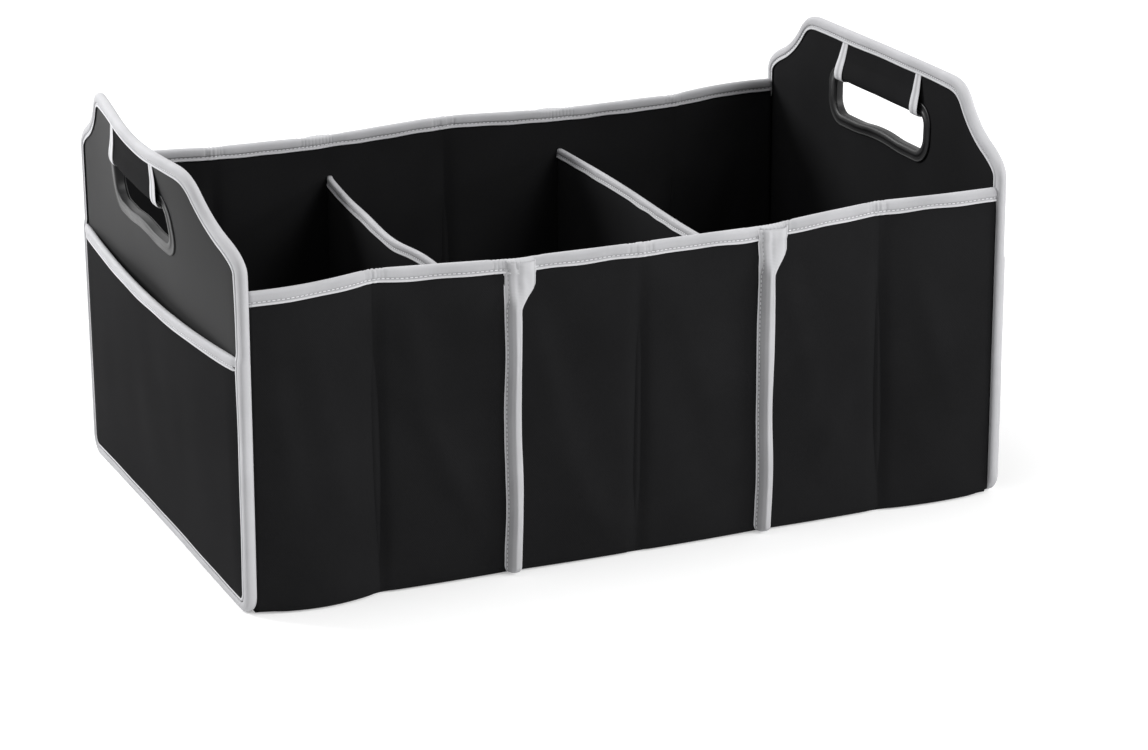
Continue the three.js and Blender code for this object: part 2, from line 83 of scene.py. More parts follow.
PANEL_OUT = high("right_end_outer_skin").x
PANEL_IN = low("right_end_lining").x
PANEL_MID = (PANEL_OUT + PANEL_IN) / 2
PANEL_HALF_THICK = (PANEL_OUT - PANEL_IN) / 2
PANEL_HALF_WIDTH = high("right_edge_binding").y
PANEL_TOP = high("right_edge_binding").z
PANEL_FOOT = low("right_edge_binding").z
FRAME_SIDE = 9 * MM
FRAME_RISE = 8 * MM
HOLE_HALF = high("right_handle_frame_outer").y - FRAME_SIDE
HOLE_TOP = high("right_handle_frame_outer").z - FRAME_RISE
HOLE_BOTTOM = low("right_handle_frame_outer").z + FRAME_RISE
POCKET_TOP = high("right_pocket").z
WALL_END = high("front_wall_cover").x
WALL_FOOT = low("front_wall_cover").z
SEAM_X = (high("front_ridge_binding_2").x + low("front_ridge_binding_2").x) / 2
PITCH = 2 * SEAM_X
DIVIDER_HALF = high("divider_1_cover").y
DIVIDER_THICK = high("divider_1_cover").x - low("divider_1_cover").x
DIVIDER_TOP = high("divider_1_binding").z
BASE_TOP = high("base_cloth").z

# Sizes that the frame's boxes don't give
WALL_SET_IN = 3 * MM
WALL_THICK = DIVIDER_THICK
WALL_TOP = 222 * MM
CORNER_Y = PANEL_HALF_WIDTH - WALL_SET_IN
SHOULDER_RISE = 56 * MM
TOP_FLAT_HALF = 100 * MM
FOOT_RADIUS = 14 * MM
SEAM_ALLOWANCE = 6 * MM
CARD_HALF = 1.1 * MM
PANEL_CARD_HALF = 1.3 * MM
PANEL_CARD_INSET = 7 * MM
SKIN_INSET = 1.6 * MM
PANEL_WAVES = 0.6 * MM
TAPE_GAP = 0.2 * MM
POCKET_GAP = 0.25 * MM
POCKET_INSET = 3.5 * MM
HOLE_OVERLAP = 2.2 * MM
GRIP_REACH = 54 * MM
GRIP_OFF = 0.9 * MM
GRIP_TAPE_AT = 55 * MM
GRIP_TAPE_OFF = 2.0 * MM
GRIP_TAPE_HALF = 5.2 * MM
DIVIDER_SAG = 3 * MM
SKIN = 1.0 * MM

# Camera, from a fit of the photograph's box corners, folds and seams, in a picture 1148 pixels wide
PICTURE_WIDTH = 1148
CAMERA_PLACE = (-0.95234, -2.25233, 0.89529)
CAMERA_AZIMUTH = math.radians(-23.5515)
CAMERA_ELEVATION = math.radians(18.4734)
CAMERA_ROLL = math.radians(-0.345)
FOCAL_PIXELS = 3564.56
CENTRE_OFF = (0.08, -6.45)
SENSOR = 36.0


# What a user can change

def length_setting(name, description, default):
    """A length that a user can change, in metres."""
    return bpy.props.FloatProperty(name=name, description=description, default=default, unit="LENGTH")


def colour_setting(name, description, default):
    """A colour that a user can change, in linear light."""
    return bpy.props.FloatVectorProperty(name=name, description=description, default=default, subtype="COLOR")


class OrganizerSizes(bpy.types.PropertyGroup):
    """Sizes of the cloth and tape that a user would change."""

    tape_width: length_setting("Tape width", "What shows of a binding tape on each side of an edge", 8.5 * MM)
    tape_thick: length_setting("Tape thickness", "Thickness of the binding tape", 0.8 * MM)
    fold_top: length_setting("Fold depth, top", "How far an end section's fold stands in at the wall's top", 10 * MM)
    fold_bottom: length_setting("Fold depth, foot", "How far an end section's fold stands in at the foot", 0.5 * MM)
    middle_swell: length_setting("Middle swell", "How far the middle section stands out at its fold", 4 * MM)
    end_swell: length_setting("End swell", "How far a wall stands out between its first fold and the end panel", 8 * MM)
    wall_puff: length_setting("Wall puff", "How far the cloth of a wall stands off its boards", 2.2 * MM)
    crease_depth: length_setting("Crease depth", "Depth of the sewn line at a fold", 3.4 * MM)
    ridge_width: length_setting("Ridge width", "Width of a pinched seam under its tape", 5 * MM)
    ridge_height: length_setting("Ridge height", "How far a pinched seam stands out", 8.5 * MM)
    ridge_lean: length_setting("Ridge lean", "How far the tip of a pinched seam lies over to one side", 2.4 * MM)
    funnel_width: length_setting("Funnel width", "Width of the seam tape where it meets the top tape", 19 * MM)
    funnel_shift: length_setting("Funnel shift", "How far the head of a seam tape lies to one side of its foot", 7 * MM)
    left_lean: length_setting("Left lean", "How far the left end panel bows outwards", 19 * MM)
    top_sag: length_setting("Top sag", "How far the left end panel's top edge has sunk in its middle", 2.5 * MM)
    right_lean: length_setting("Right lean", "How far the right end panel bows outwards", 3 * MM)
    pocket_bulge: length_setting("Pocket bulge", "How far a pocket's mouth stands off its panel", 7 * MM)


class OrganizerColours(bpy.types.PropertyGroup):
    """Colours of the organizer's materials."""

    cloth: colour_setting("Black cloth", "Walls, pockets, linings and floor", (0.0145, 0.0145, 0.0152))
    vinyl: colour_setting("Grey vinyl", "Outer skin of the end panels", (0.031, 0.031, 0.0315))
    tape: colour_setting("Grey tape", "Binding tape", (0.46, 0.46, 0.475))
    # The thread colour also paints the tape's paler woven edge and the painted highlight by its fold.
    thread: colour_setting("Thread", "Stitches on the tape", (0.82, 0.82, 0.84))
    moulding: colour_setting("Moulding", "Frames of the hand holes", (0.0085, 0.0085, 0.009))
    card: colour_setting("Card", "Boards inside the cloth", (0.33, 0.26, 0.16))


# Arrays and meshes

def steps(first, last, count):
    """Even steps from first to last, with both of them."""
    return np.linspace(first, last, count)


def smooth_step(x):
    """Rises from 0 to 1 while x goes from 0 to 1, flat at both ends."""
    t = np.clip(x, 0, 1)
    return t * t * (3 - 2 * t)


def bell(x, width):
    """1 at x = 0, falling off as a Gaussian of the given width."""
    return np.exp(-(x / width) ** 2)


def ripple(a, b, length, seed, waves=6):
    """A soft random height between about -1 and 1: the mean of sine waves that run across the (a, b) plane in
    seeded directions, each with a wavelength between 0.7 and 1.6 times the given length."""
    rng = np.random.default_rng(seed)
    angle = rng.uniform(0, math.pi, waves)
    wavelength = length * rng.uniform(0.7, 1.6, waves)
    phase = rng.uniform(0, 2 * math.pi, waves)
    run = np.cos(angle) * a[..., None] + np.sin(angle) * b[..., None]
    return np.sin(2 * math.pi * run / wavelength + phase).mean(axis=-1) * 1.6


def arc_lengths(line, closed=False):
    """Distance along a line of points, from its first; a closed line gets one more value, its whole length."""
    whole = np.concatenate([line, line[:1]]) if closed else line
    return np.concatenate([[0], np.cumsum(np.linalg.norm(np.diff(whole, axis=0), axis=1))])


def resample(line, count, closed=False):
    """Points at even distances along a line."""
    whole = np.concatenate([line, line[:1]]) if closed else line
    at = arc_lengths(whole)
    wanted = np.linspace(0, at[-1], count + 1)[:-1] if closed else np.linspace(0, at[-1], count)
    return np.stack([np.interp(wanted, at, whole[:, k]) for k in range(whole.shape[1])], axis=1)


def left_normals(loop):
    """Unit normals to the left of a closed loop in a plane, from the directions to its neighbours."""
    along = np.roll(loop, -1, axis=0) - np.roll(loop, 1, axis=0)
    along /= np.linalg.norm(along, axis=1, keepdims=True)
    return np.stack([-along[:, 1], along[:, 0]], axis=1)


def wrap(values, axis):
    """The array with its first slice repeated at its end."""
    return np.concatenate([values, np.take(values, [0], axis=axis)], axis=axis)


def there_and_back(first, second):
    """The columns of one face, and then those of a second one from its last to its first."""
    return np.concatenate([first, second[:, ::-1]], axis=1)


def surface(name, points, u=None, v=None, close_rows=False, close_columns=False, cap=False, poles=False):
    """A mesh from a grid of points (rows, columns, 3). u and v hold the cloth's own coordinates in metres, one more
    in each direction that closes; one that stays the same along a direction may have length 1 there. cap closes the
    first and last row, and poles the first and last column, each with a flat face."""
    rows, columns = points.shape[:2]
    i, j = np.meshgrid(np.arange(rows - (not close_rows)), np.arange(columns - (not close_columns)), indexing="ij")
    i, j = i.ravel(), j.ravel()
    next_i, next_j = (i + 1) % rows, (j + 1) % columns
    corners = [(i, j), (next_i, j), (next_i, next_j), (i, next_j)]
    faces = np.stack([a * columns + b for a, b in corners], axis=1).tolist()
    index = np.arange(rows * columns).reshape(rows, columns)
    if cap:
        faces += [index[0].tolist(), index[-1, ::-1].tolist()]
    if poles:
        faces += [index[::-1, 0].tolist(), index[:, -1].tolist()]
    mesh = bpy.data.meshes.new(name)
    mesh.from_pydata(points.reshape(-1, 3).tolist(), [], faces)
    layer = mesh.uv_layers.new(name="UVMap")
    if u is not None:
        u, v = np.broadcast_arrays(u, v)
        quads = np.stack([np.stack([u[a, b], v[a, b]], axis=1) for a, b in
                          ((i, j), (i + 1, j), (i + 1, j + 1), (i, j + 1))], axis=1)
        flat = np.zeros((len(layer.data), 2))
        flat[:len(i) * 4] = quads.reshape(-1, 2)
        layer.data.foreach_set("uv", flat.ravel())
    mesh.polygons.foreach_set("use_smooth", [True] * len(mesh.polygons))
    mesh.update()
    piece = bpy.data.objects.new(name, mesh)
    bpy.context.scene.collection.objects.link(piece)
    return piece


def enclosed_volume(mesh):
    """Volume inside a closed mesh, negative where its faces look inwards."""
    mesh.calc_loop_triangles()
    corners = np.empty(len(mesh.loop_triangles) * 3, dtype=np.int32)
    mesh.loop_triangles.foreach_get("vertices", corners)
    places = np.empty(len(mesh.vertices) * 3)
    mesh.vertices.foreach_get("co", places)
    a, b, c = places.reshape(-1, 3)[corners].reshape(-1, 3, 3).transpose(1, 0, 2)
    return (a * np.cross(b, c)).sum() / 6


def face_out(piece):
    """Turns the faces of a closed mesh outwards."""
    if enclosed_volume(piece.data) < 0:
        piece.data.flip_normals()
    return piece


def thicken(piece, thickness, flip=False):
    """Gives an open sheet its thickness, behind the face that was drawn."""
    if flip:
        piece.data.flip_normals()
    solidify = piece.modifiers.new("thickness", "SOLIDIFY")
    solidify.thickness = thickness
    solidify.offset = -1
    solidify.use_even_offset = True
    solidify.thickness_clamp = 1
    return piece


def seat(piece, material, slot, body, *nodes):
    """Gives a piece its material, hides the CAD nodes that it stands for, and hangs it on its body's empty when a body
    is given. The slot argument is not used.
    """
    piece.data.materials.append(material)
    if nodes:
        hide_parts(*nodes)
    if body:
        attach(piece, body)
    return piece


# Materials

def named_material(name):
    """Turns a function that wires a node tree and its main shader into one that gives the material of this name,
    and wires it only once."""
    def bind(wire):
        def give():
            made = bpy.data.materials.get(name)
            if not made:
                made = bpy.data.materials.new(name)
                made.use_nodes = True
                wire(made.node_tree, made.node_tree.nodes["Principled BSDF"])
            return made
        return give
    return bind


def plug(tree, socket, value):
    """Links another node's socket to an input, or sets the input to a constant."""
    if isinstance(value, bpy.types.NodeSocket):
        tree.links.new(value, socket)
    else:
        socket.default_value = value


def calc(tree, operation, a, b=0.0):
    """The result of a maths node."""
    node = tree.nodes.new("ShaderNodeMath")
    node.operation = operation
    for socket, value in zip(node.inputs, (a, b)):
        plug(tree, socket, value)
    return node.outputs[0]


def between(tree, value, from_low, from_high, to_low=0.0, to_high=1.0):
    """A value carried from one range to another and held inside it."""
    node = tree.nodes.new("ShaderNodeMapRange")
    for name, number in (("From Min", from_low), ("From Max", from_high), ("To Min", to_low), ("To Max", to_high)):
        node.inputs[name].default_value = number
    tree.links.new(value, node.inputs["Value"])
    return node.outputs["Result"]


def blend_colour(tree, factor, a, b):
    """A mix of two colours."""
    node = tree.nodes.new("ShaderNodeMix")
    node.data_type = "RGBA"
    plug(tree, node.inputs["Factor"], factor)
    plug(tree, node.inputs["A"], a)
    plug(tree, node.inputs["B"], b)
    return node.outputs["Result"]


def tint(colour, factor):
    """A colour made lighter or darker, with full alpha."""
    return tuple(channel * factor for channel in colour) + (1.0,)


def noise(tree, scale, detail):
    """Soft noise in the object's own coordinates."""
    node = tree.nodes.new("ShaderNodeTexNoise")
    node.inputs["Scale"].default_value = scale
    node.inputs["Detail"].default_value = detail
    tree.links.new(tree.nodes.new("ShaderNodeTexCoord").outputs["Object"], node.inputs["Vector"])
    return node.outputs["Fac"]


def cloth_axes(tree):
    """A cloth's own two coordinates, in metres."""
    split = tree.nodes.new("ShaderNodeSeparateXYZ")
    layer = tree.nodes.new("ShaderNodeUVMap")
    layer.uv_map = "UVMap"
    tree.links.new(layer.outputs["UV"], split.inputs[0])
    return split.outputs[0], split.outputs[1]


def bump(tree, height, strength, distance):
    """A normal from a height."""
    node = tree.nodes.new("ShaderNodeBump")
    node.inputs["Strength"].default_value = strength
    node.inputs["Distance"].default_value = distance
    tree.links.new(height, node.inputs["Height"])
    return node.outputs["Normal"]


def wave_along(tree, axis, pitch):
    """A sine along an axis."""
    return calc(tree, "SINE", calc(tree, "MULTIPLY", axis, 2 * math.pi / pitch))


THREAD_PITCH = 1.1 * MM


@named_material("woven_black")
def black_cloth(tree, body):
    """Plain-woven polyester: two crossing sets of threads as a bump, and slow changes of shade."""
    colour = bpy.context.scene.organizer_colours.cloth
    u, v = cloth_axes(tree)
    over = calc(tree, "MULTIPLY", wave_along(tree, u, THREAD_PITCH), wave_along(tree, v, THREAD_PITCH))
    shade = calc(tree, "ADD", noise(tree, 14.0, 3.0), calc(tree, "MULTIPLY", noise(tree, 900.0, 1.0), 0.5))
    factor = between(tree, shade, 0.5, 1.0)
    pale = blend_colour(tree, factor, tint(colour, 0.85), tint(colour, 1.3))
    thread = between(tree, over, -1.0, 1.0)
    tree.links.new(blend_colour(tree, thread, tint(colour, 0.7), pale), body.inputs["Base Color"])
    tree.links.new(bump(tree, over, 0.35, 0.12 * MM), body.inputs["Normal"])
    body.inputs["Roughness"].default_value = 0.85
    body.inputs["Specular IOR Level"].default_value = 0.015


@named_material("coated_grey")
def grey_vinyl(tree, body):
    """Coated cloth: fine pebbled grain, and a slow change of shade and gloss."""
    colour = bpy.context.scene.organizer_colours.vinyl
    cells = tree.nodes.new("ShaderNodeTexVoronoi")
    cells.feature = "SMOOTH_F1"
    cells.inputs["Scale"].default_value = 850.0
    tree.links.new(tree.nodes.new("ShaderNodeTexCoord").outputs["Object"], cells.inputs["Vector"])
    slow = noise(tree, 9.0, 3.0)
    shade = blend_colour(tree, between(tree, slow, 0.3, 0.7), tint(colour, 0.9), tint(colour, 1.12))
    tree.links.new(shade, body.inputs["Base Color"])
    grain = calc(tree, "ADD", cells.outputs["Distance"], calc(tree, "MULTIPLY", noise(tree, 300.0, 3.0), 0.6))
    tree.links.new(bump(tree, grain, 0.3, 0.1 * MM), body.inputs["Normal"])
    tree.links.new(between(tree, slow, 0.3, 0.7, 0.6, 0.7), body.inputs["Roughness"])
    body.inputs["Specular IOR Level"].default_value = 0.05


RIB_PITCH = 0.9 * MM
STITCH_IN = 2.4 * MM
STITCH_LENGTH = 3.2 * MM


@named_material("ribbed_tape")
def grey_tape(tree, body):
    """Ribbed binding tape: ribs across it, a paler woven edge, a row of stitches along a shallow groove with painted
    shade darkening the groove, and a painted highlight on the band by its turned fold. Its first coordinate runs along
    the tape, and the second is the distance from its nearest edge."""
    colours = bpy.context.scene.organizer_colours
    along, from_edge = cloth_axes(tree)
    rib = wave_along(tree, along, RIB_PITCH)
    off_row = calc(tree, "ABSOLUTE", calc(tree, "SUBTRACT", from_edge, STITCH_IN))
    in_row = between(tree, off_row, 0.55 * MM, 0.3 * MM)
    dash = between(tree, calc(tree, "SINE", calc(tree, "MULTIPLY", along, 2 * math.pi / STITCH_LENGTH)), -0.5, -0.2)
    stitch = calc(tree, "MULTIPLY", in_row, dash)
    groove = between(tree, off_row, 1.3 * MM, 0.4 * MM)
    woven_edge = between(tree, from_edge, 1.4 * MM, 0.8 * MM)
    # Painted highlight: the band by the tape's turned fold is made paler, as light falling on the fold would make it.
    fold_painted_highlight = between(tree, from_edge, 6.6 * MM, 8.2 * MM)
    shade = between(tree, noise(tree, 25.0, 3.0), 0.3, 0.7)
    base = blend_colour(tree, shade, tint(colours.tape, 0.9), tint(colours.tape, 1.08))
    ribbed = blend_colour(tree, between(tree, rib, -1.0, 1.0, 0.0, 0.2), base, tint(colours.tape, 0.72))
    # The tape's own paler woven edge and, at half weight, the painted highlight by the fold are mixed towards the
    # thread colour.
    edges = calc(tree, "MAXIMUM", woven_edge, calc(tree, "MULTIPLY", fold_painted_highlight, 0.5))
    pale_edge_and_painted_highlight = blend_colour(tree, calc(tree, "MULTIPLY", edges, 0.45), ribbed, tint(colours.thread, 1.0))
    # Painted shade: the colour is darkened along the stitch groove, where shade would fall in it.
    groove_painted_shade = blend_colour(tree, calc(tree, "MULTIPLY", groove, 0.4), pale_edge_and_painted_highlight, tint(colours.tape, 0.5))
    sewn = blend_colour(tree, stitch, groove_painted_shade, tint(colours.thread, 1.0))
    tree.links.new(sewn, body.inputs["Base Color"])
    lift = calc(tree, "MULTIPLY", rib, 0.25)
    lift = calc(tree, "SUBTRACT", lift, groove)
    lift = calc(tree, "ADD", lift, calc(tree, "MULTIPLY", stitch, 1.3))
    tree.links.new(bump(tree, lift, 0.6, 0.25 * MM), body.inputs["Normal"])
    body.inputs["Roughness"].default_value = 0.7
    body.inputs["Specular IOR Level"].default_value = 0.25


@named_material("black_moulding")
def black_moulding(tree, body):
    """Satin moulded plastic with a faint texture and slightly uneven gloss."""
    colour = bpy.context.scene.organizer_colours.moulding
    slow = noise(tree, 30.0, 2.0)
    tree.links.new(blend_colour(tree, slow, tint(colour, 0.8), tint(colour, 1.3)), body.inputs["Base Color"])
    tree.links.new(bump(tree, noise(tree, 1400.0, 2.0), 0.08, 0.05 * MM), body.inputs["Normal"])
    tree.links.new(between(tree, slow, 0.3, 0.7, 0.38, 0.5), body.inputs["Roughness"])
    body.inputs["Specular IOR Level"].default_value = 0.3


@named_material("plain_card")
def plain_card(tree, body):
    """Grey-brown board with short fibres."""
    colour = bpy.context.scene.organizer_colours.card
    fibres = noise(tree, 420.0, 5.0)
    tree.links.new(blend_colour(tree, fibres, tint(colour, 0.75), tint(colour, 1.15)), body.inputs["Base Color"])
    tree.links.new(bump(tree, fibres, 0.3, 0.1 * MM), body.inputs["Normal"])
    body.inputs["Roughness"].default_value = 0.9


# The long walls' shape

CREASES = np.array([-WALL_END, -PITCH, -SEAM_X, 0.0, SEAM_X, PITCH, WALL_END])
FOLDS = (-PITCH, 0.0, PITCH)
SEAMS = (-SEAM_X, SEAM_X)

# At each crease: shares of the fold's depth and of the middle's swell, and how far the edge is above WALL_TOP
FOLD_SHARE = np.array([0, -1, 0, 0, 0, -1, 0.0])
SWELL_SHARE = np.array([0, 0, 0, 1, 0, 0, 0.0])
WALL_EDGE = {
    "front": np.array([-1.5, 0.5, -2, -1, -2, 2, 4]) * MM,
    "back": np.array([4, 2.5, -1, 2.5, -1.5, 2.5, 3.5]) * MM,
}

# Lengths over which creases in plan and along the edge are rounded, and the swell of the right end
CREASE_ROUND = 7 * MM
EDGE_ROUND = 24 * MM
RIGHT_SWELL = 0.35

# Where layers are pressed together under a tape: how far in, and what is left of the thickness at the edge
EDGE_PRESS = 14 * MM
PRESSED = 0.38

# The foot: its slip to the left, its lift where it meets the end panels, and the hem turned in below it
FOOT_SLIP = 2 * MM
CORNER_LIFT = 2 * MM
CORNER_LENGTH = 20 * MM
HEM_IN = 3 * MM
HEM_DROP = 1.2 * MM
END_TUCK = 0.9 * MM

# The cloth: its least distance from the pressed layers, its ripples and the grooves at the folds
CARD_CLEAR = -0.3 * MM
WALL_SEED = {"front": 3, "back": 11}
LONG_RIPPLE = 58 * MM
SHORT_RIPPLE = 34 * MM
INNER_LOOSE = 0.6
GROOVE_HALF = 6 * MM
SLEEVE_BELOW_TAPE = 1.8 * MM
CARD_SET_BACK = SEAM_ALLOWANCE + 4 * MM

# The pinched seams: where their heads start to open, and where they start to stand up straight
FUNNEL_FOOT = WALL_TOP - 35 * MM
FUNNEL_RISE = 16 * MM
LEAN_EASE_FOOT = WALL_TOP - 30 * MM
LEAN_EASE_RISE = 24 * MM


def pressed_half(from_edge, half):
    """Half of a bound edge's thickness, by distance from the edge: the layers are pressed together under the tape."""
    return half * (PRESSED + (1 - PRESSED) * smooth_step(from_edge / EDGE_PRESS))


def between_creases(x, values, reach, count):
    """Straight lines between values given at the creases, rounded off by a mean over a short stretch."""
    return np.mean([np.interp(x + shift, CREASES, values) for shift in reach * steps(-1, 1, count)], axis=0)


def wall_top(x, side):
    """Height of a long wall's edge over its tape."""
    return WALL_TOP + between_creases(x, WALL_EDGE[side], EDGE_ROUND, 9)


def wall_foot(x):
    """Height of a long wall's lower edge, which is rounded off where it meets the end panels."""
    return WALL_FOOT + CORNER_LIFT * np.clip(1 - (WALL_END - np.abs(x)) / CORNER_LENGTH, 0, 1) ** 2


def wall_plan(x, z):
    """How far a wall's outer face stands out from its corners. Its folds deepen from foot to top."""
    sizes = bpy.context.scene.organizer_sizes
    up = np.clip(z / WALL_TOP, 0, 1)
    depth = sizes.fold_bottom + (sizes.fold_top - sizes.fold_bottom) * up
    fold, swell = (between_creases(x, share, CREASE_ROUND, 5) for share in (FOLD_SHARE, SWELL_SHARE))
    at_end = np.sin(np.pi * np.clip((np.abs(x) - PITCH) / (WALL_END - PITCH), 0, 1)) * np.where(x < 0, 1, RIGHT_SWELL)
    at_end = at_end * (1 - 0.3 * up)
    return fold * depth + swell * sizes.middle_swell * (0.4 + 0.6 * up) + sizes.end_swell * at_end


# Soft drapes in the walls' cloth, in millimetres: start and end along the wall and up, height and half width
DRAPES = (
    ((-176, 158), (-104, 16), 2.4, 10), ((-263, 205), (-246, 60), 2.0, 9), ((-236, 190), (-204, 24), 1.8, 11),
    ((-168, 208), (-146, 96), 1.4, 9), ((-82, 204), (-50, 70), 1.6, 9), ((-60, 96), (-20, 12), 1.6, 10),
    ((22, 190), (70, 40), 1.6, 11), ((108, 204), (136, 84), 1.6, 9), ((176, 132), (124, 20), 1.7, 10),
    ((204, 198), (250, 44), 1.8, 11),
)


def drapes(x, z):
    """The soft drapes: each is a bell across a straight line, that swells and dies along it as a sine."""
    total = 0
    for start, end, height, width in DRAPES:
        start, way = np.array(start) * MM, (np.array(end) - start) * MM
        length = np.hypot(*way)
        along = ((x - start[0]) * way[0] + (z - start[1]) * way[1]) / length ** 2
        across = ((x - start[0]) * way[1] - (z - start[1]) * way[0]) / length
        total = total + height * MM * bell(across, width * MM) * np.sin(np.pi * np.clip(along, 0, 1))
    return total


def wall_cloth(x, z, side, inner=False):
    """How far a wall's cloth stands off its boards: a low cushion between creases, a sewn groove at each fold, and
    drapes and soft ripples that die out at the seams, the foot and the top. It goes in deeper than the boards' faces
    only in the grooves, where the boards end."""
    sizes = bpy.context.scene.organizer_sizes
    seed = WALL_SEED[side] + (20 if inner else 0)
    at = np.clip(np.searchsorted(CREASES, x, side="right") - 1, 0, len(CREASES) - 2)
    share = (x - CREASES[at]) / (CREASES[at + 1] - CREASES[at])
    up = np.clip((z - WALL_FOOT) / (WALL_TOP - WALL_FOOT), 0, 1)
    cushion = np.sin(np.pi * np.clip(share, 0, 1)) ** 0.7 * np.clip(1 - np.abs(2 * up - 0.85) ** 3, 0, 1)
    drape = ripple(x + 0.5 * z, 0.25 * z, LONG_RIPPLE, seed)
    waves = 1.5 * drape + ripple(x, z * 0.6, SHORT_RIPPLE, seed + 1) * 0.35
    calm = np.sin(np.pi * np.clip(share, 0, 1)) ** 0.5 * np.clip(np.sin(np.pi * up), 0, 1) ** 0.4
    groove = sum(bell(x - fold, GROOVE_HALF) for fold in FOLDS) * np.sin(np.pi * (0.15 + 0.83 * up))
    loose = INNER_LOOSE if inner else 1
    stands_off = cushion + 0.5 * loose * waves * calm
    puff = sizes.wall_puff * stands_off + loose * drapes(x, z)
    return np.maximum(puff, CARD_CLEAR) - sizes.crease_depth * groove


def funnel_share(z):
    """0 along the narrow part of a pinched seam and 1 in its head, by a smooth step."""
    return smooth_step((z - FUNNEL_FOOT) / FUNNEL_RISE)


def pinch(x, z, grow=0.0):
    """How far the cloth is pinched out at the seams: a steep flat-topped fin that fades at its foot, and that widens
    and softens into the wall's top edge."""
    sizes = bpy.context.scene.organizer_sizes
    open_up = funnel_share(z)
    half = sizes.ridge_width / 2 * (1 - open_up) + sizes.funnel_width / 2 * open_up + grow
    height = sizes.ridge_height * (1 - 0.5 * open_up) * smooth_step((z - WALL_FOOT) / (5 * MM)) + grow
    power = 4.5 - 2.5 * open_up
    out = 0
    for seam in SEAMS:
        across = np.clip(np.abs(x - seam - sizes.funnel_shift * open_up) / half, 0, 1)
        out = out + height * (1 - across ** power) ** 0.6
    return out


def fin_shift(z, height):
    """How far a pinched seam lies over, in proportion to how far it stands out."""
    sizes = bpy.context.scene.organizer_sizes
    settle = 1 - 0.5 * smooth_step((z - LEAN_EASE_FOOT) / LEAN_EASE_RISE)
    return sizes.ridge_lean * settle * np.clip(height / sizes.ridge_height, 0, 1)


def wall_middle(x, z):
    """Middle of a wall's thickness, where its boards are."""
    return CORNER_Y + wall_plan(x, z) - WALL_THICK / 2


def wall_face(x, z, side):
    """Outer face of a wall before its cloth is puffed and pinched, pressed thinner towards the bound top edge."""
    return wall_middle(x, z) + pressed_half(wall_top(x, side) - z, WALL_THICK / 2)


def wall_outer(x, z, side):
    """Outer face of a wall's cloth, with its pinched seams."""
    return wall_face(x, z, side) + wall_cloth(x, z, side) + pinch(x, z)


def wall_inner(x, z, side):
    """Inner face of a wall's cloth."""
    pressed = pressed_half(wall_top(x, side) - z, WALL_THICK / 2)
    return wall_middle(x, z) - pressed - wall_cloth(x, z, side, inner=True)


def foot_slip(z):
    """How far the front wall and the left panel's front edge have slipped at a height: most at the foot."""
    return FOOT_SLIP * (1 - np.clip(z / WALL_TOP, 0, 1))


def wall_side(x, out, z, side):
    """Points of a long wall from the distance that they stand out; the back wall is turned half round. The foot of
    the front wall has slipped a little to the left, with the panel that it meets there."""
    x, out, z = np.broadcast_arrays(x, out, z)
    if side == "front":
        x = x - foot_slip(z) * (1 - smooth_step(x / WALL_END))
        return np.stack([x, -out, z], axis=-1)
    return np.stack([-x, out, z], axis=-1)


def wall_stations():
    """Places along a wall: even steps, and closer ones round seams and folds."""
    seams = [seam + steps(-12 * MM, 22 * MM, 76) for seam in SEAMS]
    folds = [fold + steps(-9 * MM, 9 * MM, 19) for fold in FOLDS]
    even = steps(-WALL_END - END_TUCK, WALL_END + END_TUCK, 201)
    place = np.sort(np.concatenate([even, *seams, *folds]))
    return place[np.append(True, np.diff(place) > 0.1 * MM)]


def wall_cover(side):
    """The sleeve of a long wall. Rows run along the wall; columns go up the outer face, round the top and down the
    inner face."""
    x = wall_stations()[:, None]
    top = wall_top(x, side) - SLEEVE_BELOW_TAPE
    outer_share = steps(0, 1, 56)[None, :]
    outer_z = wall_foot(x) + outer_share * (top - WALL_THICK / 2 - wall_foot(x))
    inner_z = outer_z[:, ::-1]
    outer = wall_outer(x, outer_z, side)
    inner = wall_inner(x, inner_z, side)
    turn = steps(0, math.pi, 9)[None, 1:-1]
    mid, radius = middle_and_half(outer[:, -1:], inner[:, :1])
    over = mid + radius * np.cos(turn)
    over_z = outer_z[:, -1:] + radius * np.sin(turn)
    foot = steps(0, math.pi / 2, 5)[None, :-1]
    hem = outer[:, :1] - HEM_IN * (1 - np.sin(foot))
    hem_z = wall_foot(x) - HEM_DROP * np.cos(foot)
    out = np.concatenate([hem, outer, over, inner], axis=1)
    z = np.concatenate([hem_z, outer_z, over_z, inner_z], axis=1)
    at_seam = np.concatenate([pinch(x, hem_z), pinch(x, outer_z), 0 * over_z, 0 * inner_z], axis=1)
    points = wall_side(x + fin_shift(z, at_seam), out, z, side)
    u, v = arc_lengths(points[:, 20])[:, None], arc_lengths(points[30], closed=True)[None, :]
    piece = surface(f"{side}_wall_sleeve", points, u, v, close_columns=True, cap=True)
    return face_out(piece)


def wall_card(side, index):
    """One board inside a wall: a slab that follows the wall's middle between two creases."""
    x = steps(CREASES[index] + CARD_SET_BACK, CREASES[index + 1] - CARD_SET_BACK, 14)[:, None]
    z = wall_foot(x) + 2 * MM + steps(0, 1, 16)[None, :] * (WALL_TOP - 11 * MM - wall_foot(x))
    middle = wall_middle(x, z)
    out = there_and_back(middle + CARD_HALF, middle - CARD_HALF)
    height = there_and_back(z, z)
    piece = surface(f"{side}_wall_card_{index + 1}", wall_side(x, out, height, side), close_columns=True, cap=True)
    return face_out(piece)


# Tapes

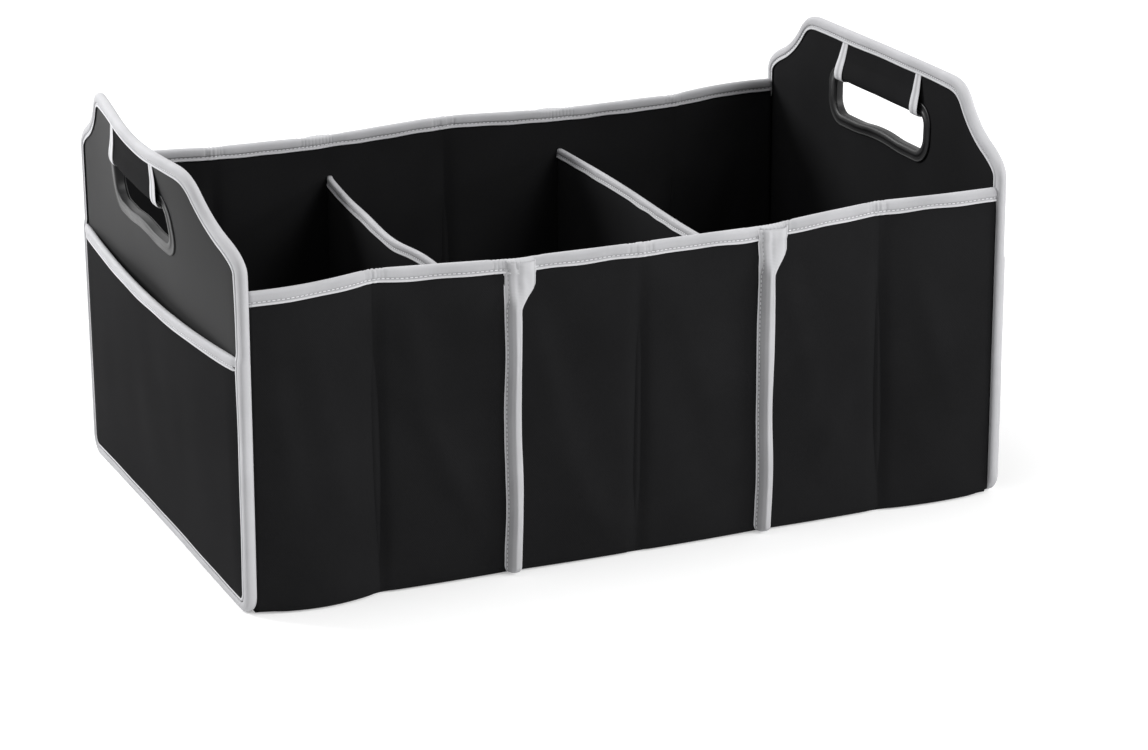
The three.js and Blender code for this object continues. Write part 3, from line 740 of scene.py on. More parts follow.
SELVAGE_RISE, SELVAGE_IN, SELVAGE_HALF = 0.25 * MM, 0.9 * MM, 0.8 * MM
GROOVE_SINK, STITCH_GROOVE_HALF = 0.35 * MM, 0.9 * MM
TAPE_SWELL = 0.55 * MM
PATCH_RISE, PATCH_HALF = 0.5 * MM, 3.6 * MM
OVER_POCKET = 1.1 * MM


def tape_swell(from_edge, width):
    """How a tape stands off what it binds, by distance from its edge: a thick selvage, a groove at the stitches and
    a low swell up to the fold."""
    edge = SELVAGE_RISE * bell(from_edge - SELVAGE_IN, SELVAGE_HALF)
    groove = -GROOVE_SINK * bell(from_edge - STITCH_IN, STITCH_GROOVE_HALF)
    swell = TAPE_SWELL * np.sin(np.pi * np.clip((from_edge - STITCH_IN) / (width - STITCH_IN), 0, 1)) ** 0.8
    return edge + groove + swell


LEG_SHARE = np.concatenate([steps(0, 0.4, 9), steps(0.4, 1, 6)[1:]])[None, :]
TURN = steps(0, math.pi, 11)[None, 1:-1]


def over_edge(width, fold, radius):
    """A tape's second coordinate along its turn over an edge: its leg's length, and half of an arc to the middle."""
    return width - fold + radius * 0.5 * np.pi * (0.5 - np.abs(0.5 - TURN / math.pi))


def middle_and_half(outer, inner):
    """The middle of two faces, and half of the distance between them."""
    return (outer + inner) / 2, (outer - inner) / 2


def over_grid(outer, turned, inner):
    """A tape's columns: up its outer leg, round the edge, and back down its inner leg."""
    return np.concatenate([outer, turned, inner[:, ::-1]], axis=1)


def round_turn(middle, radius):
    """How far a tape stands out along its turn: a cosine made squarer, so that the turn is a flattened arc."""
    return middle + radius * np.sign(np.cos(TURN)) * np.abs(np.cos(TURN)) ** 0.8


def top_tape(side):
    """The tape over a long wall's top edge. Rows run along the wall; columns go up outside, over and down inside."""
    sizes = bpy.context.scene.organizer_sizes
    x = wall_stations()[:, None]
    thick = sizes.tape_thick + TAPE_GAP
    fold = 2.2 * MM
    wobble = 0.5 * MM * ripple(x, x * 0, 40 * MM, WALL_SEED[side] + 5)
    width = sizes.tape_width + wobble
    leg = LEG_SHARE * (width - fold)
    top = wall_top(x, side)
    z = top - width + leg
    swell = tape_swell(leg, sizes.tape_width)
    for fold_x in FOLDS:
        swell = swell + PATCH_RISE * smooth_step((PATCH_HALF - np.abs(x - fold_x)) / (0.9 * MM))
    outer = wall_outer(x, z, side) + thick + swell
    inner = wall_inner(x, z, side) - thick - swell
    mid, radius = middle_and_half(outer[:, -1:], inner[:, -1:])
    out = over_grid(outer, round_turn(mid, radius), inner)
    height = over_grid(z, top - fold + fold * np.sin(TURN) ** 0.8, z)
    points = wall_side(x, out, height, side)
    v = over_grid(leg, over_edge(width, fold, radius), leg)
    piece = surface(f"{side}_top_tape", points, arc_lengths(points[:, -8])[:, None], v)
    return thicken(piece, sizes.tape_thick, flip=True)


def seam_tape(side, index):
    """The tape round a pinched seam. Rows climb it and columns cross it, closer together on its flanks. Its foot is
    rounded off, and its head spreads out and lies over the top tape."""
    sizes = bpy.context.scene.organizer_sizes
    seam = SEAMS[index]
    foot, head = WALL_FOOT - 1.2 * MM, wall_top(seam, side) - 1.2 * MM
    tip_height = 6 * MM
    z = np.concatenate([steps(foot, foot + tip_height, 14), steps(foot + tip_height, head, 90)[1:]])[:, None]
    tip = np.sqrt(np.clip(1 - ((foot + tip_height - z).clip(0) / tip_height) ** 2, 0.01, 1))
    thick = sizes.tape_thick + 0.3 * MM
    spread = funnel_share(z)
    uneven = 1 + 0.1 * ripple(z, 0 * z, 70 * MM, WALL_SEED[side] + 13 + index)
    half = (sizes.ridge_width / 2 * (1 - spread) + sizes.funnel_width / 2 * spread + thick + 0.7 * MM) * uneven
    across = half * np.sin(steps(-math.pi / 2, math.pi / 2, 49))[None, :]
    centre = seam + sizes.funnel_shift * spread
    height = pinch(centre + across / uneven, np.maximum(z, WALL_FOOT + 5 * MM), thick)
    over_top = smooth_step((z - (wall_top(seam, side) - sizes.tape_width - 2 * MM)) / (3 * MM))
    folds = 0.35 * MM * ripple(across * 3, z, 22 * MM, WALL_SEED[side] + 17 + index) * (0.3 + spread)
    valley = 0.7 * MM * spread * bell(across + sizes.funnel_width * 0.2 * spread, 1.8 * MM)
    height = (height + 0.5 * MM + folds - valley + over_top * (sizes.tape_thick + 0.5 * MM)) * tip
    sway = 0.7 * MM * ripple(z, z * 0, 90 * MM, WALL_SEED[side] + 7 + index)
    x = centre + across * tip + sway + fin_shift(z, height)
    out = wall_face(seam + across, z, side) + wall_cloth(seam + across, z, side) * 0.6 + height
    points = wall_side(x, out, z, side)
    reach = arc_lengths(points[40])
    piece = surface(f"{side}_seam_tape_{index + 1}", points, z, np.minimum(reach, reach[-1] - reach)[None, :])
    return thicken(piece, sizes.tape_thick, flip=True)


# The end panels' shape

def bezier(a, b, c, d, count=12):
    """Points of a cubic Bezier curve."""
    t = steps(0, 1, count)[:, None]
    a, b, c, d = (np.array(p) for p in (a, b, c, d))
    return a * (1 - t) ** 3 + 3 * b * t * (1 - t) ** 2 + 3 * c * t * t * (1 - t) + d * t ** 3


def arc(centre, radius, first, last, count=10):
    """Points of a circle's arc between two angles."""
    angle = steps(first, last, count)
    return np.stack([centre[0] + radius * np.cos(angle), centre[1] + radius * np.sin(angle)], axis=1)


def mirrored(half):
    """A closed loop from the right half of it, bottom to top, and the same half turned over."""
    left = half[::-1] * np.array([-1, 1])
    return np.concatenate([half, left[1:-1]])


OUTLINE_POINTS = 440
SHOULDER_CURVES = (
    ((0, 0), (0, 0.18), (0.15, 0.295), (0.31, 0.39)),
    ((0.31, 0.39), (0.46, 0.49), (0.58, 0.63), (0.675, 0.81)),
    ((0.675, 0.81), (0.76, 0.95), (0.86, 1), (1, 1)),
)


def panel_loop():
    """The end panel's outline in (y, z): round feet, upright sides, shoulders in an S curve and a straight top, as
    points at even distances."""
    side, foot, radius = PANEL_HALF_WIDTH, PANEL_FOOT, FOOT_RADIUS
    shoulder = PANEL_TOP - SHOULDER_RISE
    curves = [bezier(*((side - across * (side - TOP_FLAT_HALF), shoulder + up * SHOULDER_RISE)
                       for across, up in curve)) for curve in SHOULDER_CURVES]
    half = np.concatenate([
        [[0, foot]],
        arc((side - radius, foot + radius), radius, -math.pi / 2, 0),
        *curves,
        [[0, PANEL_TOP]],
    ])
    return resample(mirrored(half), OUTLINE_POINTS, closed=True)


HOLE_ARCH = 2 * MM
HOLE_LOWER_RADIUS = 12 * MM
HOLE_UPPER_RADIUS = 8 * MM


def hole_loop(grow_side=0.0, grow_rise=0.0):
    """The hand hole's outline in (y, z), grown by the given widths: round corners and an arched lower edge."""
    half, bottom, top = HOLE_HALF + grow_side, HOLE_BOTTOM - grow_rise, HOLE_TOP + grow_rise
    lower, upper = HOLE_LOWER_RADIUS + grow_rise, HOLE_UPPER_RADIUS + grow_rise
    arch = bezier((0, bottom + HOLE_ARCH), (half / 4, bottom + HOLE_ARCH), (half / 3, bottom), (half / 2, bottom))
    line = np.concatenate([
        arch,
        arc((half - lower, bottom + lower), lower, -math.pi / 2, 0),
        arc((half - upper, top - upper), upper, 0, math.pi / 2),
        [[0, top]],
    ])
    return mirrored(line)


def at_same_angle(loop, targets, centre):
    """For each target point, the point of a loop that lies in the same direction from a centre."""
    angle = np.unwrap(np.arctan2(*(loop - centre).T[::-1]))
    dense = np.concatenate([loop, loop[:1]])
    angle = np.append(angle, angle[0] + 2 * np.pi)
    wanted = np.arctan2(*(targets - centre).T[::-1])
    wanted = (wanted - angle[0]) % (2 * np.pi) + angle[0]
    return np.stack([np.interp(wanted, angle, dense[:, k]) for k in (0, 1)], axis=1)


def lean(y, z, side):
    """How far an end panel bows out: nothing at its upright edges and foot, as the cube of the height, and more
    towards its front."""
    sizes = bpy.context.scene.organizer_sizes
    amount = sizes.left_lean if side == "left" else sizes.right_lean
    share = y / PANEL_HALF_WIDTH
    towards_front = share * (1 if side == "left" else -1)
    bow = amount * np.clip(1 - share ** 2, 0, 1) * (1 + 0.7 * towards_front) * (z / PANEL_TOP) ** 3
    return bow + (foot_slip(z) * smooth_step((share + 0.2) / 1.2) if side == "left" else 0)


def top_sag(y, z, side):
    """How far the middle of an end panel's upper part has sunk, as a cosine between its shoulders."""
    amount = bpy.context.scene.organizer_sizes.top_sag if side == "left" else 0.0
    share = np.clip(y / TOP_FLAT_HALF, -1, 1)
    return amount * np.cos(0.5 * np.pi * share) ** 2 * smooth_step((z / PANEL_TOP - 0.8) / 0.2)


def panel_side(y, out, z, side):
    """Points of an end panel from the distance that they stand out of its middle; the left one is turned half
    round. The panel's bow is added here."""
    y, out, z = np.broadcast_arrays(y, out, z)
    x = PANEL_MID + out + lean(y, z, side)
    z = z - top_sag(y, z, side)
    if side == "right":
        return np.stack([x, y, z], axis=-1)
    return np.stack([-x, -y, z], axis=-1)


def panel_layer(name, side, inset, near, far, waves, seed):
    """One layer of an end panel with the hand hole in it. Rows go round; columns run from the hole out to the edge
    on one face and back on the other."""
    edge = panel_loop()
    edge = edge + left_normals(edge) * inset
    centre = np.array([0, (HOLE_BOTTOM + HOLE_TOP) / 2])
    hole = at_same_angle(hole_loop(HOLE_OVERLAP, HOLE_OVERLAP), edge, centre)
    share = steps(0, 1, 30)[None, :, None] ** 1.2
    face = hole[:, None] + (edge - hole)[:, None] * share
    y, z = face[..., 0], face[..., 1]
    calm = (1 - share[..., 0] ** 4) * smooth_step(share[..., 0] / 0.15)
    wave = waves * ripple(y, z, 90 * MM, seed) * calm
    from_edge = np.linalg.norm(edge[:, None] - face, axis=2) + inset
    wave = wave - np.sign(near + far) * (PANEL_HALF_THICK - pressed_half(from_edge, PANEL_HALF_THICK))
    both_y, both_z = there_and_back(y, y), there_and_back(z, z)
    out = there_and_back(far + wave, near + wave)
    points = panel_side(both_y, out, both_z, side)
    u, v = wrap(wrap(both_y, 0), 1), wrap(wrap(both_z, 0), 1)
    return face_out(surface(name, points, u, v, close_rows=True, close_columns=True))


def edge_tape(side):
    """The tape round an end panel. Rows follow the outline; columns go from the tape's edge on the outside over the
    panel's rim to its edge on the inside. It stands a little further out where it binds the pocket too, and shows
    less on the inside below the walls' top."""
    sizes = bpy.context.scene.organizer_sizes
    loop = panel_loop()
    inward = left_normals(loop)
    at = arc_lengths(loop, closed=True)[:-1]
    width = sizes.tape_width + 0.35 * MM * np.sin(at / (17 * MM)) * np.sin(at / (41 * MM))
    fold = 2.0 * MM
    width = width[:, None]
    leg = LEG_SHARE * (width - fold)
    over_pocket = OVER_POCKET * smooth_step((POCKET_TOP + 5 * MM - loop[:, 1:]) / (6 * MM))
    half = pressed_half(width - leg, PANEL_HALF_THICK) + TAPE_GAP + sizes.tape_thick
    swell = tape_swell(leg, sizes.tape_width)
    outside = half + over_pocket + swell
    inside = -half - swell
    mid, radius = middle_and_half(outside[:, -1:], inside[:, -1:])
    out = over_grid(outside, round_turn(mid, radius), inside)
    below_walls = smooth_step((WALL_TOP - 6 * MM - loop[:, 1:]) / (8 * MM))
    inner_share = 1 - 0.4 * below_walls
    turned = fold * (1 - np.sin(TURN) ** 0.8) + 0 * mid
    depth = over_grid(width - leg, turned, fold + (width - leg - fold) * inner_share)
    y = loop[:, :1] + inward[:, :1] * depth
    z = loop[:, 1:] + inward[:, 1:] * depth
    points = panel_side(y, out, z, side)
    v = wrap(over_grid(leg, over_edge(width, fold, radius), leg), 0)
    piece = surface(f"{side}_edge_tape", points, arc_lengths(loop, closed=True)[:, None], v, close_rows=True)
    return thicken(piece, sizes.tape_thick)


# Pockets

POCKET_SEED = {"left": 31, "right": 37}


def pocket_edge(y, z):
    """Distance from a point low on a panel to the panel's sides, foot and round corners."""
    beside = np.abs(y) - (PANEL_HALF_WIDTH - FOOT_RADIUS)
    below = PANEL_FOOT + FOOT_RADIUS - z
    outside = np.hypot(np.maximum(beside, 0), np.maximum(below, 0))
    return FOOT_RADIUS - outside - np.minimum(np.maximum(beside, below), 0)


def pocket_out(y, z, side):
    """How far a pocket's back stands out from the middle of its panel: sewn flat and pressed at its sides and foot,
    and open most in the middle of its mouth."""
    sizes = bpy.context.scene.organizer_sizes
    from_edge = pocket_edge(y, z)
    half = PANEL_HALF_WIDTH - sizes.tape_width
    across = np.clip(1 - (y / half) ** 2, 0, 1)
    up = np.clip((z - PANEL_FOOT - 6 * MM) / (POCKET_TOP - PANEL_FOOT - 6 * MM), 0, 1)
    folds = 0.5 * MM * ripple(y, z * 0.5, 70 * MM, POCKET_SEED[side]) * across ** 0.5 * np.sin(np.pi * up) ** 0.7
    slack = 1.3 * MM * np.sin(np.pi * up) ** 0.5 * smooth_step((from_edge - sizes.tape_width) / (14 * MM))
    on_panel = pressed_half(from_edge, PANEL_HALF_THICK)
    return on_panel + sizes.pocket_bulge * across * np.sin(np.pi / 2 * up) + folds + slack


def pocket_sheet(side):
    """A pocket's cloth. Rows climb it; columns cross it, narrowing round the panel's feet."""
    inset = POCKET_INSET
    z = (PANEL_FOOT + inset) + steps(0, 1, 60)[:, None] ** 1.15 * (POCKET_TOP - PANEL_FOOT - inset)
    radius = FOOT_RADIUS - inset
    lack = np.clip(PANEL_FOOT + FOOT_RADIUS - z, 0, radius)
    half = PANEL_HALF_WIDTH - inset - radius + np.sqrt(np.clip(radius ** 2 - lack ** 2, 0, None))
    y = half * steps(-1, 1, 121)[None, :]
    points = panel_side(y, POCKET_GAP + SKIN + pocket_out(y, z + 0 * y, side), z, side)
    piece = surface(f"{side}_pocket_cloth", points, y, z)
    return thicken(piece, SKIN, flip=side == "right")


def pocket_tape(side):
    """The tape over a pocket's mouth. Rows cross the panel; columns go up outside, over and down inside."""
    sizes = bpy.context.scene.organizer_sizes
    reach = PANEL_HALF_WIDTH - 2.5 * MM
    y = steps(-reach, reach, 161)[:, None]
    under_edge = 1.2 * MM * smooth_step((np.abs(y) - reach + 9 * MM) / (5 * MM))
    fold = 1.8 * MM
    width = sizes.tape_width + 0.3 * MM * ripple(y, 0 * y, 45 * MM, 51)
    leg = LEG_SHARE * (width - fold)
    top = POCKET_TOP + 1.4 * MM
    z = top - width + leg
    base = pocket_out(y, np.minimum(z, POCKET_TOP), side)
    swell = tape_swell(leg, sizes.tape_width)
    outer = base + POCKET_GAP + SKIN + sizes.tape_thick + TAPE_GAP + swell - under_edge
    inner = np.maximum(base - sizes.tape_thick, pressed_half(pocket_edge(y, z), PANEL_HALF_THICK) + 0.1 * MM)
    mid, radius = middle_and_half(outer[:, -1:], inner[:, -1:])
    out = over_grid(outer, mid + radius * np.cos(TURN), inner)
    height = over_grid(z, top - fold + fold * np.sin(TURN) + 0 * y, z)
    points = panel_side(y, out, height, side)
    piece = surface(f"{side}_pocket_tape", points, y, over_grid(leg, over_edge(width, fold, radius), leg))
    return thicken(piece, 0.6 * sizes.tape_thick, flip=True)


# Hand holes

def shortened(ways, most):
    """Each way cut to at most a length, and to less than half of its own."""
    length = np.linalg.norm(ways, axis=1, keepdims=True)
    return ways / length * np.minimum(most, 0.45 * length)


def rounded_profile(corners, radius, count=5):
    """A closed loop through corners in a plane, with each corner rounded by a short quadratic curve."""
    corners = np.array(corners)
    start = corners + shortened(np.roll(corners, 1, axis=0) - corners, radius)
    end = corners + shortened(np.roll(corners, -1, axis=0) - corners, radius)
    t = steps(0, 1, count)[None, :, None]
    curve = start[:, None] * (1 - t) ** 2 + 2 * corners[:, None] * t * (1 - t) + end[:, None] * t * t
    return curve.reshape(-1, 2)


def hole_frame(side, outer_half):
    """Half of a moulded frame. Rows go round the hole; columns follow its section: flange, step, raised lip and, on
    the outer half, the collar through the panel. The section is given as a share of the frame's width and a
    distance from the panel's face."""
    hole, rim = hole_loop(), hole_loop(FRAME_SIDE, FRAME_RISE)
    face = PANEL_HALF_THICK + 0.3 * MM
    back = -PANEL_HALF_THICK if outer_half else face
    section = [(-0.08, back), (-0.06, face + 0.6 * MM), (0.08, face + 1.2 * MM), (0.36, face + 1.4 * MM),
               (0.5, face + 0.8 * MM), (0.8, face + 0.8 * MM), (0.92, face + 1.1 * MM), (1.0, face + 0.7 * MM),
               (1.0, face)]
    if outer_half:
        section += [(0.17, face), (0.17, back)]
    profile = rounded_profile([(share * FRAME_SIDE, out) for share, out in section], 0.9 * MM, 4)
    share, out = profile[:, 0][None, :] / FRAME_SIDE, profile[:, 1][None, :]
    y = hole[:, :1] + (rim - hole)[:, :1] * share
    z = hole[:, 1:] + (rim - hole)[:, 1:] * share
    direction = 1 if outer_half else -1
    points = panel_side(y, direction * out, z, side)
    name = f"{side}_frame_{'outer' if outer_half else 'inner'}"
    return face_out(surface(name, points, close_rows=True, close_columns=True))


def grip_line(grow):
    """The grip's section in (out, z): down over the outer frame, round under the bar and up over the inner frame,
    at an even distance from the frame, with rounded corners."""
    flange = PANEL_HALF_THICK + 1.8 * MM + grow
    lip = PANEL_HALF_THICK + 2.6 * MM + grow
    panel = PANEL_HALF_THICK + 0.2 * MM + grow
    foot = HOLE_TOP - 0.3 * MM - grow
    tape_edge = PANEL_TOP - bpy.context.scene.organizer_sizes.tape_width
    frame_top = HOLE_TOP + FRAME_RISE
    tucked = pressed_half(PANEL_TOP - tape_edge, PANEL_HALF_THICK) + 0.4 * grow
    half = np.array([
        (tucked - 0.2 * MM, tape_edge + 2.5 * MM), (tucked + 0.2 * MM, tape_edge - 1 * MM),
        (panel + 0.1 * MM, frame_top + 7 * MM), (flange, frame_top + 1 * MM),
        (lip, HOLE_TOP + 5 * MM), (lip + 0.3 * MM, HOLE_TOP + 2 * MM), (lip - 0.6 * MM, foot + 0.4 * MM),
        (lip - 3 * MM, foot), (0, foot - 0.3 * MM),
    ])
    whole = np.concatenate([half, half[-2::-1] * np.array([-1, 1])])
    dense = resample(whole, 90)
    kernel = np.array([1, 2, 3, 4, 3, 2, 1]) / 16
    return np.stack([np.convolve(np.pad(dense[:, k], 3, mode="edge"), kernel, mode="valid") for k in (0, 1)], axis=1)


def grip_cloth(side):
    """The cloth over the bar above the hand hole, drawn tight between its two bound ends."""
    y = steps(-GRIP_REACH, GRIP_REACH, 61)[:, None]
    line = grip_line(GRIP_OFF)
    out, z = line[:, 0][None, :], line[:, 1][None, :]
    drawn = 0.5 * MM * np.cos(np.pi * y / (2.001 * GRIP_REACH)) ** 0.5 + 0.35 * MM * ripple(y, z + 0 * y, 34 * MM, 61)
    drawn = np.sign(out) * drawn * np.minimum(1, np.abs(out) / (5 * MM))
    points = panel_side(y, out + drawn, z, side)
    piece = surface(f"{side}_grip_cloth", points, y, arc_lengths(line)[None, :])
    return thicken(piece, 0.8 * MM, flip=True)


def grip_tape(side, index):
    """One of the two tapes that bind the grip's ends."""
    centre = (-GRIP_TAPE_AT, GRIP_TAPE_AT)[index]
    half = GRIP_TAPE_HALF
    across = half * np.sin(steps(-math.pi / 2, math.pi / 2, 17))[:, None]
    line = grip_line(GRIP_TAPE_OFF)
    out, z = line[:, 0][None, :], line[:, 1][None, :]
    from_edge = (half - np.abs(across)) * 0.3
    swell = 0.5 * MM * np.sqrt(1 - (across / half) ** 2) - 0.3 * MM
    lower = smooth_step((PANEL_TOP - z) / (34 * MM))
    across = across * (0.72 + 0.4 * lower)
    sway = 0.5 * MM * np.sin((z - HOLE_TOP) / (9 * MM) + index) + 2.2 * MM * (2 * index - 1) * lower
    y = centre + across + sway
    points = panel_side(y, out + np.sign(out) * swell * np.minimum(1, np.abs(out) / (4 * MM)), z, side)
    piece = surface(f"{side}_grip_end_tape_{index + 1}", points, arc_lengths(line)[None, :], from_edge)
    return thicken(piece, 0.9 * MM, flip=True)


# Dividers

def divider_top(y, index):
    """Height of a divider's edge over its tape, hanging as a cosine and, in the left divider, deeper and wavy."""
    across = np.cos(np.pi * y / (2 * DIVIDER_HALF))
    slack = across ** 0.6 * (5 + 1.2 * np.sin(3.2 * np.pi * y / DIVIDER_HALF)) * MM
    return DIVIDER_TOP - DIVIDER_SAG * across - (0 if index else slack)


def divider_sway(y, z, index):
    """How far a divider is out of its plane: nothing at its ends and foot, a slow S near its top."""
    share = y / DIVIDER_HALF
    along = 2.6 * np.sin(np.pi * share) + 2 if index else -5 - 1.8 * np.sin(1.6 * np.pi * share)
    return along * MM * np.clip(1 - share ** 2, 0, 1) ** 0.5 * smooth_step(z / DIVIDER_TOP)


def divider_cloth(y, z, seed):
    """How far a divider's cloth stands off its board: a low cushion and soft ripples."""
    up = np.clip(z / DIVIDER_TOP, 0, 1)
    ends = np.clip(1 - (y / DIVIDER_HALF) ** 2, 0, 1)
    cushion = 0.5 * MM * ends ** 0.3 * np.sin(np.pi * up) ** 0.5
    return cushion + 0.6 * MM * ripple(y, z, 70 * MM, seed) * ends ** 0.5 * np.sin(np.pi * up) ** 0.5


def divider_points(x, y, z, index):
    """Points of a divider from the distance that they stand out of its plane."""
    seam = SEAMS[index]
    x, y, z = np.broadcast_arrays(x, y, z)
    return np.stack([seam + x + divider_sway(y, z, index), y, z], axis=-1)


def divider_cover(index):
    """A divider's cloth. Rows run from front to back; columns go up one face, over the top and down the other."""
    y = steps(-DIVIDER_HALF, DIVIDER_HALF, 121)[:, None]
    top = divider_top(y, index) - 1.6 * MM - DIVIDER_THICK / 2
    z = WALL_FOOT + steps(0, 1, 40)[None, :] * (top - WALL_FOOT)
    half = pressed_half(divider_top(y, index) - z, DIVIDER_THICK / 2)
    near = half + divider_cloth(y, z, 71 + index)
    far = -half - divider_cloth(y, z, 81 + index)
    edge = half[:, -1:]
    x = over_grid(near, edge * np.cos(TURN), far)
    points = divider_points(x, y, over_grid(z, z[:, -1:] + edge * np.sin(TURN), z), index)
    v = arc_lengths(points[60], closed=True)[None, :]
    return face_out(surface(f"divider_{index + 1}_sleeve", points, y, v, close_columns=True, cap=True))


def divider_card(index):
    """The board inside a divider."""
    y = steps(SEAM_ALLOWANCE - DIVIDER_HALF, DIVIDER_HALF - SEAM_ALLOWANCE, 30)[:, None]
    z = steps(WALL_FOOT + 1 * MM, DIVIDER_TOP - DIVIDER_SAG - 15 * MM, 14)[None, :]
    x = there_and_back(CARD_HALF + 0 * z, -CARD_HALF + 0 * z)
    points = divider_points(x, y, there_and_back(z, z), index)
    return face_out(surface(f"divider_{index + 1}_card", points, close_columns=True, cap=True))


def divider_tape(index):
    """The tape over a divider's top edge, made as the walls' top tape is."""
    sizes = bpy.context.scene.organizer_sizes
    y = steps(-DIVIDER_HALF, DIVIDER_HALF, 141)[:, None]
    fold = 1.8 * MM
    width = 0.82 * sizes.tape_width + 0.4 * MM * ripple(y, 0 * y, 40 * MM, 91 + index)
    leg = LEG_SHARE * (width - fold)
    top = divider_top(y, index)
    z = top - width + leg
    half = pressed_half(width - leg, DIVIDER_THICK / 2) + sizes.tape_thick + TAPE_GAP
    half = half + 0.6 * tape_swell(leg, width)
    x = over_grid(half, round_turn(0 * y, half[:, -1:]), -half)
    height = over_grid(z, top - fold + fold * np.sin(TURN) ** 0.8, z)
    points = divider_points(x, y, height, index)
    v = over_grid(leg, over_edge(width, fold, half[:, -1:]), leg)
    piece = surface(f"divider_{index + 1}_tape", points, y, v)
    return thicken(piece, sizes.tape_thick)


# Floor

def slab(name, loop, bottom, top, roundness, rings=14):
    """A flat board from its closed outline in plan. Rows go round; columns run from the middle of the underside out
    to the rounded rim and back to the middle of the top. Each column is the outline shrunk towards its middle."""
    centre = loop.mean(axis=0)
    inward = left_normals(loop)
    turn = steps(-math.pi / 2, math.pi / 2, 9)
    middle, half = (bottom + top) / 2, (top - bottom) / 2
    flat = np.sqrt(steps(0.0004, 1, rings))
    base = loop + inward * roundness
    rim = base[:, None] - inward[:, None] * (roundness * np.cos(turn))[None, :, None]
    inside = centre + (base[:, None] - centre) * flat[None, :, None]
    plan = np.concatenate([inside[:, :-1], rim, inside[:, ::-1][:, 1:]], axis=1)
    z = np.concatenate([np.full(rings - 1, bottom), middle + half * np.sin(turn), np.full(rings - 1, top)])
    points = np.concatenate([plan, np.broadcast_to(z[None, :, None], (*plan.shape[:2], 1))], axis=2)
    u, v = wrap(points[..., 0], 0), wrap(points[..., 1], 0)
    return face_out(surface(name, points, u, v, close_rows=True, poles=True))


def floor_board(index):
    """A stiff board sewn into cloth, with soft edges and round corners."""
    node = f"floor_board_{index + 1}"
    a, b = low(node), high(node)
    free, hinged = 6 * MM, 2 * MM
    corners = (((b.x - free, a.y + free), free), ((b.x - free, b.y - free), free),
               ((a.x + hinged, b.y - hinged), hinged), ((a.x + hinged, a.y + hinged), hinged))
    loop = np.concatenate([arc(centre, radius, (turn - 1) * math.pi / 2, turn * math.pi / 2, 6)
                           for turn, (centre, radius) in enumerate(corners)])
    return slab(f"{node}_cover", resample(loop, 240, closed=True), a.z + 0.1 * MM, b.z, 2 * MM)


BASE_SET_IN = 2.5 * MM
CORNER_CUT, CUT_LENGTH = 1 * MM, 24 * MM


def base_plan():
    """Outline of the cloth under the floor: the walls' plan at their foot, a little inside it and cut back at the
    corners, with the front edge slipped as the front wall is."""
    x = steps(-WALL_END - END_TUCK, WALL_END + END_TUCK, 141)
    at_corner = np.clip(1 - (WALL_END - np.abs(x)) / CUT_LENGTH, 0, 1)
    half = CORNER_Y + wall_plan(x, 0 * x) - BASE_SET_IN - CORNER_CUT * at_corner
    slip = FOOT_SLIP * (1 - smooth_step(x / WALL_END))
    front = np.stack([x - slip, -half], axis=1)
    back = np.stack([-x, half], axis=1)
    return np.concatenate([front, back])


def base_sheet():
    """The cloth under the floor."""
    return slab("base_sheet", base_plan(), 0.2 * MM, BASE_TOP, 0.5 * MM)


def hinge_line(index):
    """Section of a floor board's cloth hinge in (x, z): down its wall and out over the board."""
    tape, board = f"floor_hinge_tape_{index + 1}", f"floor_board_{index + 1}"
    x0, top = low(tape).x + 0.7 * MM, high(tape).z
    hinge_x, hinge_z = low(board).x, high(board).z
    line = np.array([(x0, top), (x0, hinge_z + 4 * MM), (x0 + 0.25 * MM, hinge_z + 1.6 * MM),
                     (hinge_x + 0.2 * MM, hinge_z + 0.75 * MM), (hinge_x + 4 * MM, hinge_z + 0.7 * MM),
                     (hinge_x + 16 * MM, hinge_z + 0.65 * MM)])
    return resample(line, 36)


def hinge_cloth(index):
    """The cloth hinge of a floor board. Rows run along it; columns follow its section."""
    reach = high(f"floor_hinge_tape_{index + 1}").y
    y = steps(-reach, reach, 61)[:, None]
    line = hinge_line(index)
    x, z = line[:, 0][None, :], line[:, 1][None, :]
    points = np.stack(np.broadcast_arrays(x, y, z), axis=-1)
    piece = surface(f"floor_hinge_cloth_{index + 1}", points, y, arc_lengths(line)[None, :])
    return thicken(piece, 0.5 * MM, flip=True)


# Stage

FLOOR_HALF = 4.0
FLOOR_LEVEL = -0.2 * MM
FLOOR_GLOW = 0.35
WORLD_LIGHT = 0.3
LIGHTS = (
    # name, place, what it faces, sides, watts
    ("left", (-2.0, 1.9, 1.4), (-0.28, 0, 0.15), (1.1, 1.1), 88),
    ("right", (3.0, -1.6, 1.1), (0.1, 0, 0.1), (1.0, 1.0), 42),
    ("front", (1.5, -2.6, 2.1), (0, 0, 0.15), (1.6, 1.6), 62),
    ("above", (-0.5, 0.3, 2.8), (0, 0, 0.1), (2.2, 1.6), 30),
)


def seen_rays(tree):
    """1 for what the camera sees, also in gloss and through glass."""
    rays = tree.nodes.new("ShaderNodeLightPath")
    mirrored_too = calc(tree, "MAXIMUM", rays.outputs["Is Camera Ray"], rays.outputs["Is Glossy Ray"])
    return calc(tree, "MAXIMUM", mirrored_too, rays.outputs["Is Transmission Ray"])


